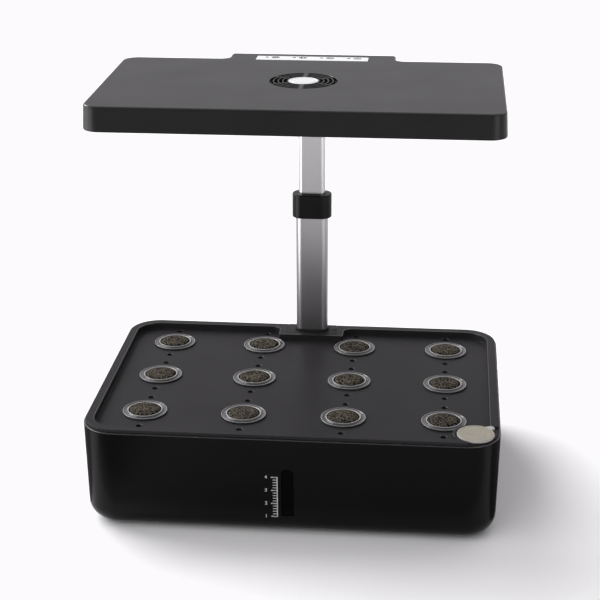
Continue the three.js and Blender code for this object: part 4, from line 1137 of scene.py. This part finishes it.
def sponge_tree():
    tree = Tree("sponge_pores", {"Depth": 0.0008, "Scale": 500.0, "Seed": 0.0, "Line": 0.088})
    place = tree.add("GeometryNodeInputPosition").outputs[0]
    pattern = tree.add("ShaderNodeTexNoise", {"noise_dimensions": "4D"}, Vector=place, W=tree.given("Seed"),
                       Scale=tree.given("Scale"), Detail=2.0)
    height = tree.maths("MULTIPLY", tree.maths("SUBTRACT", pattern.outputs[0], 0.62), tree.given("Depth"))
    normal = tree.add("GeometryNodeInputNormal").outputs[0]
    push = tree.add("ShaderNodeVectorMath", {"operation": "SCALE"}, Scale=height)
    tree.group.links.new(normal, push.inputs[0])
    z = tree.add("ShaderNodeSeparateXYZ", Vector=place).outputs["Z"]
    above = tree.maths("GREATER_THAN", z, tree.given("Line"))
    moved = tree.add("GeometryNodeSetPosition", Geometry=tree.given("Geometry"), Selection=above,
                     Offset=push.outputs[0])
    return tree.finish(moved.outputs[0], sponge_brown)


def build_sponge(number, place, group):
    top = surface_z + SPONGE_CROWN
    low = surface_z - BASKET_DEPTH + 1.9
    profile = [(0, low), (10.6, low), (SPONGE_RADIUS - 0.2, surface_z - 1), (SPONGE_RADIUS, surface_z + 1.2)]
    rings = 22
    for ring in range(1, rings + 1):
        share = ring / rings
        radius = SPONGE_RADIUS * (1 - share)
        lift = math.sqrt(max(0.0, 1 - (1 - share) ** 5))
        profile.append((radius, surface_z + 1.2 + (top - surface_z - 1.2) * lift))
    made = as_object(f"grow_sponge_{number}", turned(profile, place.x, place.y, 84))
    modifier = made.modifiers.new("pores", "NODES")
    modifier.node_group = group
    for item in group.interface.items_tree:
        if item.name == "Seed":
            modifier[item.identifier] = number * 1.7
        if item.name == "Line":
            modifier[item.identifier] = surface_z * MM
    return settle(made)


# %% Twelve pods
sponges = sponge_tree()
for number, place in enumerate(pod_places(), 1):
    body = f"pod_{number}"
    basket = dressed(build_basket(number, place), body, basket_smoke, [f"basket_{number}"], angle=50)
    # The bead and the lip get lighter colours: painted highlights.
    paint_basket_highlights(basket, place)
    sponge = build_sponge(number, place, sponges)
    dressed(sponge, body, sponge_brown, [f"sponge_{number}"], angle=80)
print("pods:", number, "sponge faces:", len(sponge.data.polygons))

# %% [markdown]
# ## The mast
#
# Two drawn aluminium tubes with a flat front and round sides, one sliding in the other, with a black plastic
# collar at the joint. A ring loft gives each tube its real wall.

# %% Mast tubes and collar
OUTER_TUBE_RADIUS = 6.8
INNER_TUBE_RADIUS = 4.3


def centred(node, radius, inset=0.0, steps=12):
    low, high = span(node)
    return rounded(low.x + inset, high.x - inset, low.y + inset, high.y - inset, radius - inset, steps)


def build_tube(name, node, radius, wall):
    low, high = span(node)
    outer, inner = centred(node, radius), centred(node, radius, wall)
    fine_outer, fine_inner = grown(outer, -0.25), grown(inner, 0.25)
    return as_object(name, loft([
        (fine_outer, low.z), (outer, low.z + 0.25), (outer, high.z - 0.25), (fine_outer, high.z),
        (fine_inner, high.z), (inner, high.z - 0.25), (inner, low.z + 0.25), (fine_inner, low.z),
    ], ring=True))


def build_collar():
    low, high = span("mast_collar")
    outer = centred("mast_collar", 10.3)
    bore = centred("mast_outer_tube", OUTER_TUBE_RADIUS, -0.3)
    throat = centred("mast_inner_tube", INNER_TUBE_RADIUS, -0.3)
    step = span("mast_outer_tube")[1].z + 0.3
    stack = rounding(outer, low.z, 0.6, upwards=False) + rounding(outer, high.z, 1.1)
    stack += [(grown(throat, 0.5), high.z), (throat, high.z - 0.5), (throat, step), (bore, step), (bore, low.z + 0.1)]
    return as_object("collar_ring", loft(stack + [(grown(bore, 0.3), low.z)], ring=True))


outer_tube = build_tube("outer_tube", "mast_outer_tube", OUTER_TUBE_RADIUS, 1.4)
dressed(outer_tube, "base", aluminium, ["mast_outer_tube"])
inner_tube = build_tube("inner_tube", "mast_inner_tube", INNER_TUBE_RADIUS, 1.2)
dressed(inner_tube, "lamp", aluminium, ["mast_inner_tube"])
dressed(build_collar(), "base", collar_black, ["mast_collar"])
print("mast done")

# %% [markdown]
# ## Mast socket
#
# The socket fills the notch in the deck flush with the plinth. A low soft bead runs round the foot of the mast,
# and there is one small slot on the right. Its sleeve goes down into the tank.

# %% Mast socket
socket_low, socket_high = span("mast_socket")
SOCKET_PLATE = 94.5
SOCKET_FLANGE = 11.0
SOCKET_BACK = 118.8
SOCKET_HOLE = Vector((22.2, 109.4))


def build_socket():
    front = socket_low.y
    plate = rounded(socket_low.x, socket_high.x, front, SOCKET_BACK, 1.0, 5)
    socket = as_object("socket_plate", loft([(plate, SOCKET_PLATE - SOCKET_FLANGE)]
                                            + rounding(plate, SOCKET_PLATE, 0.15)))
    sleeve = rounded(-19, 19, 101.6, SOCKET_BACK, 1.0, 4)
    saddle = rounded(socket_low.x, socket_high.x, SOCKET_BACK - 3, socket_high.y, 0.8, 4)
    tube = centred("mast_outer_tube", OUTER_TUBE_RADIUS, -0.35)
    step = grown(tube, 0.9)
    combine(socket, [
        as_object("sleeve", loft([(sleeve, socket_low.z), (sleeve, SOCKET_PLATE - 1)])),
        as_object("saddle", loft([(saddle, 91.8)] + rounding(saddle, SOCKET_PLATE - 0.02, 0.4))),
        as_object("step", loft([(step, SOCKET_PLATE - 2)] + rounding(step, socket_high.z, 0.8))),
    ], "UNION")
    slot = [p + SOCKET_HOLE for p in rounded(-1.9, 1.9, -0.75, 0.75, 0.7, 4)]
    cable = turned([(0, socket_low.z - 3), (3, socket_low.z - 3), (3, socket_low.z + 4), (0, socket_low.z + 4)],
                   0, 110.9, 24)
    bore = [(tube, socket_low.z + 2), (tube, socket_high.z - 0.3), (grown(tube, 0.3), socket_high.z)]
    return combine(socket, [
        as_object("bore", loft(bore + [(grown(tube, 0.3), socket_high.z + 2)])),
        as_object("slot", loft([(slot, SOCKET_PLATE - 2.5), (slot, SOCKET_PLATE + 2)])),
        as_object("cable_hole", cable),
    ])


dressed(build_socket(), "base", deck_grey, ["mast_socket"])
print("socket done")

# %% [markdown]
# ## The hood
#
# The hood is a flat box with a tab at the back over the mast. Its outline has round outer corners and hollow
# ones where the tab leaves the body. The shell is lofted with its wall, and the top gets its round opening for
# the fan, a shallow bed for the strip of keys and a hole for the power inlet.

# %% Hood outline
hood_low, hood_high = span("hood_top")
HOOD_BACK = 110.9
HOOD_DRAFT = 1.0
HOOD_TAB_HALF = 77.8
HOOD_CORNER = 14.5
HOOD_TAB_CORNER = 4.5
HOOD_TAB_FILLET = 8
HOOD_WALL = 2.2
HOOD_EDGE = 1.8


def hood_path():
    side, tab = hood_high.x - HOOD_CORNER, HOOD_TAB_HALF - HOOD_TAB_CORNER
    hollow = HOOD_TAB_HALF + HOOD_TAB_FILLET
    tab_y = hood_high.y - HOOD_TAB_CORNER
    return (
        arc(side, HOOD_BACK - HOOD_CORNER, HOOD_CORNER, 0, 90)
        + arc(hollow, HOOD_BACK + HOOD_TAB_FILLET, HOOD_TAB_FILLET, 270, 180, 10)
        + arc(tab, tab_y, HOOD_TAB_CORNER, 0, 90, 8)
        + arc(-tab, tab_y, HOOD_TAB_CORNER, 90, 180, 8)
        + arc(-hollow, HOOD_BACK + HOOD_TAB_FILLET, HOOD_TAB_FILLET, 0, -90, 10)
        + arc(-side, HOOD_BACK - HOOD_CORNER, HOOD_CORNER, 90, 180)
        + arc(-side, hood_low.y + HOOD_CORNER, HOOD_CORNER, 180, 270)
        + arc(side, hood_low.y + HOOD_CORNER, HOOD_CORNER, 270, 360)
    )


# %% Hood shell
FAN_Y = 24.9
GRILLE_RADIUS = 29.8
STRIP_CORNER = 1.2
STRIP_SINK = 1.0
JACK_X = 45.0


def hood_levels():
    path = hood_path()
    top, low = hood_high.z, hood_low.z
    ceiling = top - HOOD_WALL
    inner = grown(path, -HOOD_WALL)
    levels = rounding(grown(path, -HOOD_DRAFT), top, HOOD_EDGE, steps=6)[::-1]
    levels += [(path, low + 1.2), (grown(path, -0.35), low + 0.35), (grown(path, -1.2), low)]
    return levels + [(grown(inner, 0.3), low), (inner, low + 0.3), (grown(inner, -HOOD_DRAFT), ceiling)]


def strip_path(margin):
    low, high = span("control_strip")
    return rounded(low.x - margin, high.x + margin, low.y - margin, high.y + margin, STRIP_CORNER + margin, 6)


def along_y(made, x, y, z):
    """Lays a piece that was turned round Z along the Y axis."""
    turn = Matrix.Rotation(math.radians(-90), 4, "X")
    made.data.transform(Matrix.Translation(Vector((x, y, z)) * MM) @ turn)
    return made


def build_hood():
    hood = as_object("hood_shell", loft(hood_levels()))
    top = hood_high.z
    bed = [(strip_path(0.3), top - STRIP_SINK), (strip_path(0.3), top - 0.25), (strip_path(0.55), top)]
    fan = turned([(0, top - 6), (GRILLE_RADIUS, top - 6), (GRILLE_RADIUS, top - 0.3), (GRILLE_RADIUS + 0.3, top),
                  (GRILLE_RADIUS + 0.3, top + 3), (0, top + 3)], 0, FAN_Y, 128)
    jack = turned([(0, -14), (4.2, -14), (4.2, -1.1), (5.5, -1.1), (5.5, 4), (0, 4)], 0, 0, 48)
    middle = (span("dc_jack")[0].z + span("dc_jack")[1].z) / 2
    return combine(hood, [
        as_object("strip_bed", loft(bed + [(strip_path(0.55), top + 3)])),
        as_object("fan_hole", fan),
        along_y(as_object("jack_hole", jack), JACK_X, span("dc_jack")[1].y, middle),
    ])


hood_shell = dressed(build_hood(), "lamp", hood_grey, ["hood_top"], angle=28)
# Sideways faces get the weave on a colour painted darker than the top: painted shade.
paint(hood_shell, hood_side_shade_weave, lambda face: face.normal.z < 0.3)
# Faces between the top and the sides are painted darker than the top: painted shade.
paint(hood_shell, hood_edge_shade, lambda face: 0.3 <= face.normal.z < 0.98)
print("hood faces:", len(hood_shell.data.polygons))

# %% [markdown]
# ## Fan grille
#
# Four rings of slots surround a disc. It is easier to make what stands between the slots: three thin rings and
# six spokes, the front and back ones wider. A tree sweeps a small rectangle round three circles for the rings.
# The spokes and the hub are joined to them.

# %% Grille tree
RING_FIRST = 18.0
RING_PITCH = 4.1
RING_WIDTH = 1.0
SPOKE_WIDTHS = (1.6, 3.9)
HUB_RADIUS = 14.4


def ring_tree():
    tree = Tree("grille_rings", {"First": 0.018, "Pitch": 0.004, "Width": 0.001, "Height": 0.002, "Count": 3})
    row = tree.add("GeometryNodeMeshLine", Count=tree.given("Count"), Offset=(0, 0, 0))
    index = tree.add("GeometryNodeInputIndex").outputs[0]
    radius = tree.maths("ADD", tree.given("First"), tree.maths("MULTIPLY", index, tree.given("Pitch")))
    unit = tree.add("GeometryNodeCurvePrimitiveCircle", Resolution=96, Radius=1.0)
    size = tree.add("ShaderNodeCombineXYZ", X=radius, Y=radius, Z=1.0)
    rings = tree.add("GeometryNodeInstanceOnPoints", Points=row.outputs[0], Instance=unit.outputs[0],
                     Scale=size.outputs[0])
    real = tree.add("GeometryNodeRealizeInstances", Geometry=rings.outputs[0])
    bar = tree.add("GeometryNodeCurvePrimitiveQuadrilateral", Width=tree.given("Width"), Height=tree.given("Height"))
    tube = tree.add("GeometryNodeCurveToMesh", Curve=real.outputs[0], Profile_Curve=bar.outputs[0])
    return tree.finish(tube.outputs[0])


def build_grille():
    top, low = hood_high.z, hood_high.z - HOOD_WALL
    middle = top - HOOD_WALL / 2
    rings = bake("fan_grille", ring_tree(), {
        "First": RING_FIRST * MM, "Pitch": RING_PITCH * MM, "Width": RING_WIDTH * MM,
        "Height": (HOOD_WALL - 0.1) * MM, "Count": 3,
    }, [])
    rings.data.transform(Matrix.Translation(Vector((0, FAN_Y, middle)) * MM))
    spokes = []
    for index in range(6):
        width = SPOKE_WIDTHS[1] if index % 3 == 1 else SPOKE_WIDTHS[0]
        turn = Matrix.Rotation(math.radians(30 + 60 * index), 2)
        outline = rounded(12.8, GRILLE_RADIUS + 0.5, -width / 2, width / 2, 0.2, 2)
        path = [turn @ p + Vector((0, FAN_Y)) for p in outline]
        spokes.append(as_object("spoke", loft([(path, low)] + rounding(path, top - 0.03, 0.2, steps=2))))
    hub = turned([(0, low), (HUB_RADIUS, low), (HUB_RADIUS, top - 0.2), (HUB_RADIUS - 0.2, top),
                  (13.6, top), (13.4, top - 0.2), (13.4, top - 0.8), (0, top - 0.8)], 0, FAN_Y, 96)
    return combine(rings, spokes + [as_object("hub", hub)], "UNION")


fan_grille = dressed(build_grille(), "lamp", hood_grey, angle=40)
print("grille faces:", len(fan_grille.data.polygons))

# %% [markdown]
# ## Disc and strip of keys
#
# The disc in the grille is plain silver-white with a fine groove near its edge. The strip is a glossy white
# film with four keys, each shown by a small mark and a round plain symbol in dark print.

# %% Disc, strip and its marks
KEY_XS = (-34.4, -9.1, 16.3, 41.6)
KEY_Y = 117.4
KEY_RADIUS = 3.7
POINTER_SHIFT = -7.9


def build_disc():
    low, high = span("grille_cap")
    radius, top = (high.x - low.x) / 2, high.z
    profile = [(0, low.z), (radius - 0.1, low.z), (radius, low.z + 0.1), (radius, top - 0.15), (radius - 0.15, top),
               (radius - 1.5, top), (radius - 1.7, top - 0.2), (radius - 2.1, top - 0.2), (radius - 2.3, top), (0, top)]
    return as_object("grille_disc", turned(profile, 0, FAN_Y, 96))


def build_strip():
    low, high = span("control_strip")
    path = strip_path(0.0)
    return as_object("key_strip", loft([(path, low.z)] + rounding(path, high.z, 0.15, steps=2)))


def band(x, y, outer, inner, z, lift):
    return as_object("band", turned([(inner, z), (outer, z), (outer, z + lift), (inner, z + lift)], x, y, 40))


def bar(x, y, width, depth, z, lift, turn=0.0):
    spin = Matrix.Rotation(math.radians(turn), 2)
    path = [spin @ p + Vector((x, y)) for p in rounded(-width / 2, width / 2, -depth / 2, depth / 2,
                                                       min(width, depth) * 0.3, 3)]
    return as_object("bar", loft([(path, z), (path, z + lift)]))


def build_key_marks():
    z, lift = span("control_strip")[1].z, 0.05
    marks = []
    for number, x in enumerate(KEY_XS):
        marks.append(band(x, KEY_Y, KEY_RADIUS, KEY_RADIUS - 1.0, z, lift))
        marks.append(bar(x + POINTER_SHIFT, KEY_Y, 2.8, 3.2, z, lift, turn=20 * number))
        if number == 0:
            marks += [bar(x - 1.6 + 1.6 * n, KEY_Y, 1.0, 4.6, z, lift) for n in range(3)]
        if number == 1:
            marks += [bar(x - 1.2, KEY_Y, 1.6, 4.4, z, lift), bar(x + 1.5, KEY_Y, 1.4, 2.4, z, lift)]
        if number == 2:
            marks += [bar(x, KEY_Y, 4.4, 1.8, z, lift)]
        if number == 3:
            marks += [bar(x, KEY_Y + 0.9, 4.0, 1.6, z, lift, turn=25)]
    made = join(marks[0], marks[1:])
    made.name = "key_marks"
    return made


dressed(build_disc(), "lamp", disc_white, ["grille_cap"])
dressed(build_strip(), "lamp", strip_white, ["control_strip"])
dressed(build_key_marks(), "lamp", ink_grey)
print("keys:", len(KEY_XS))

# %% [markdown]
# ## Underside of the hood
#
# The tray closes the hood from below. Behind its opal pane lies a white board with rows of small lamps, which a
# tree sets on a grid. Four screws hold the tray.

# %% Tray, pane and lamps
tray_low, tray_high = span("hood_tray")
pane_low, pane_high = span("led_diffuser")
board_low, board_high = span("led_board")
LAMP_OPENING = (148.0, -60.0, 84.0)
LAMP_LEDGE = 2.5
LAMP_CORNER = 4.0


def lamp_path(margin):
    half, front, back = LAMP_OPENING
    return rounded(-half - margin, half + margin, front - margin, back + margin, LAMP_CORNER + margin, 8)


def build_tray():
    path = grown(hood_path(), -2.6)
    low = tray_low.z
    tray = as_object("tray_plate", loft([(grown(path, -0.3), low), (path, low + 0.3), (path, low + 2)]))
    lip = lamp_path(4.5)
    combine(tray, [as_object("lip", loft([(lip, low + 1.7), (lip, tray_high.z)]))], "UNION")
    mast_hole = centred("mast_inner_tube", INNER_TUBE_RADIUS, -0.3)
    cutters = [
        as_object("light", loft([(lamp_path(0.5), low - 1), (lamp_path(0.5), low), (lamp_path(0), low + 0.5),
                                 (lamp_path(0), low + 3)])),
        as_object("seat", loft([(lamp_path(LAMP_LEDGE), low + 1), (lamp_path(LAMP_LEDGE), tray_high.z + 2)])),
        as_object("mast_hole", loft([(mast_hole, low - 1), (mast_hole, low + 6)])),
    ]
    for number in range(1, 5):
        a, b = span(f"hood_screw_{number}")
        x, y = (a.x + b.x) / 2, (a.y + b.y) / 2
        pocket = [(0, low - 2), (3.3, low - 2), (3.3, low + 1), (1.7, low + 1), (1.7, low + 4), (0, low + 4)]
        cutters.append(as_object("pocket", turned(pocket, x, y, 32)))
    return combine(tray, cutters)


def lamp_tree():
    tree = Tree("lamp_chips", {"Width": 0.28, "Depth": 0.13, "Columns": 20, "Rows": 9, "Chip": 0.003, "Lift": 0.0008})
    grid = tree.add("GeometryNodeMeshGrid", Size_X=tree.given("Width"), Size_Y=tree.given("Depth"),
                    Vertices_X=tree.given("Columns"), Vertices_Y=tree.given("Rows"))
    size = tree.add("ShaderNodeCombineXYZ", X=tree.given("Chip"), Y=tree.given("Chip"), Z=tree.given("Lift"))
    chip = tree.add("GeometryNodeMeshCube", Size=size.outputs[0])
    chips = tree.add("GeometryNodeInstanceOnPoints", Points=grid.outputs[0], Instance=chip.outputs[0])
    return tree.finish(chips.outputs[0], led_yellow)


dressed(build_tray(), "lamp", tank_black, ["hood_tray"])
pane = lamp_path(LAMP_LEDGE - 0.3)
pane_sheet = as_object("lamp_pane", loft([(grown(pane, -0.2), pane_low.z), (pane, pane_low.z + 0.2),
                                          (pane, pane_high.z - 0.2), (grown(pane, -0.2), pane_high.z)]))
dressed(pane_sheet, "lamp", opal_diffuser, ["led_diffuser"])
chips = bake("lamp_chips", lamp_tree(), {"Width": 0.272, "Depth": 0.122})
chips.data.transform(Matrix.Translation(Vector((0, 12, board_low.z - 0.4)) * MM))
dressed(chips, "lamp", led_yellow)
print("lamps:", len(chips.data.polygons) // 6)

# %% [markdown]
# ## Screws and inlet
#
# A pan-head screw is turned once with a cross recess and set on the four places by a tree. The power inlet is a
# turned socket with a pin in its middle.

# %% Screws and power inlet
def screw_master():
    head = [(0, -1.8), (2.0, -1.75), (2.7, -1.3), (3.0, -0.6), (3.0, 0), (1.4, 0), (1.4, 12), (0, 12)]
    screw = as_object("screw_master", turned(head, 0, 0, 32))
    cross = [as_object("slot", loft([(rounded(-a, a, -b, b, 0.2, 2), -2.5), (rounded(-a, a, -b, b, 0.2, 2), -1.0)]))
             for a, b in ((1.7, 0.4), (0.4, 1.7))]
    return combine(screw, cross)


def screw_tree(master):
    tree = Tree("screw_places", {"Size": 1.0})
    info = tree.add("GeometryNodeObjectInfo", Object=master)
    size = tree.add("ShaderNodeCombineXYZ", X=tree.given("Size"), Y=tree.given("Size"), Z=tree.given("Size"))
    placed = tree.add("GeometryNodeInstanceOnPoints", Points=tree.given("Geometry"),
                      Instance=info.outputs["Geometry"], Scale=size.outputs[0])
    return tree.finish(placed.outputs[0], screw_steel)


def build_screws():
    master = screw_master()
    places = []
    for number in range(1, 5):
        low, high = span(f"hood_screw_{number}")
        places.append(((low.x + high.x) / 2, (low.y + high.y) / 2, low.z + 1.8))
    screws = bake("tray_screws", screw_tree(master), {"Size": 1.0}, places)
    bpy.data.objects.remove(master)
    return screws


def build_jack():
    low, high = span("dc_jack")
    profile = [(0, -12), (3.9, -12), (3.9, -0.8), (5.2, -0.8), (5.2, -0.2), (5.0, 0), (3.1, 0), (2.9, -0.2),
               (2.9, -9), (0.9, -9), (0.9, -1.8), (0.6, -1.5), (0, -1.5)]
    jack = as_object("power_inlet", turned(profile, 0, 0, 48))
    return along_y(jack, (low.x + high.x) / 2, high.y, (low.z + high.z) / 2)


dressed(build_screws(), "lamp", screw_steel, [f"hood_screw_{n}" for n in range(1, 5)])
dressed(build_jack(), "lamp", hidden_plastic, ["dc_jack"])
print("screws and inlet done")

# %% [markdown]
# ## Pieces kept from the engineering model
#
# The pieces inside keep their engineering shape and only get a finish: pump, fan, boards, bush and bracket.

# %% Finishes of the kept pieces
KEPT = {
    "pump_body": hidden_plastic, "pump_cover": hidden_plastic, "pump_nozzle": hidden_plastic,
    "pump_impeller": white_acetal, "pump_cable": foot_rubber, "mast_bush": white_acetal,
    "head_bracket": hidden_plastic, "fan_frame": hidden_plastic, "fan_rotor": hidden_plastic,
    "control_board": circuit_green, "led_board": board_white,
    "socket_screw_left": screw_steel, "socket_screw_right": screw_steel,
}
for name, material in KEPT.items():
    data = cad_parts[name].data
    data.materials.clear()
    data.materials.append(material)
floor_white = new_finish("studio_floor", FLOOR_COLOUR, 0.9)
vary_roughness(floor_white, 3, 0.85, 0.95)
floor.data.materials.append(floor_white)
card_grey = new_finish("card_grey", CARD_COLOUR, 0.9)
card_dark = new_finish("card_dark", SIDE_CARD_COLOUR, 0.9)
for card_finish in (card_grey, card_dark):
    vary_roughness(card_finish, 3, 0.85, 0.95)
for card in cards:
    card.data.materials.append(card_dark if card.name in DARK_CARDS else card_grey)
print("kept pieces:", len(KEPT))
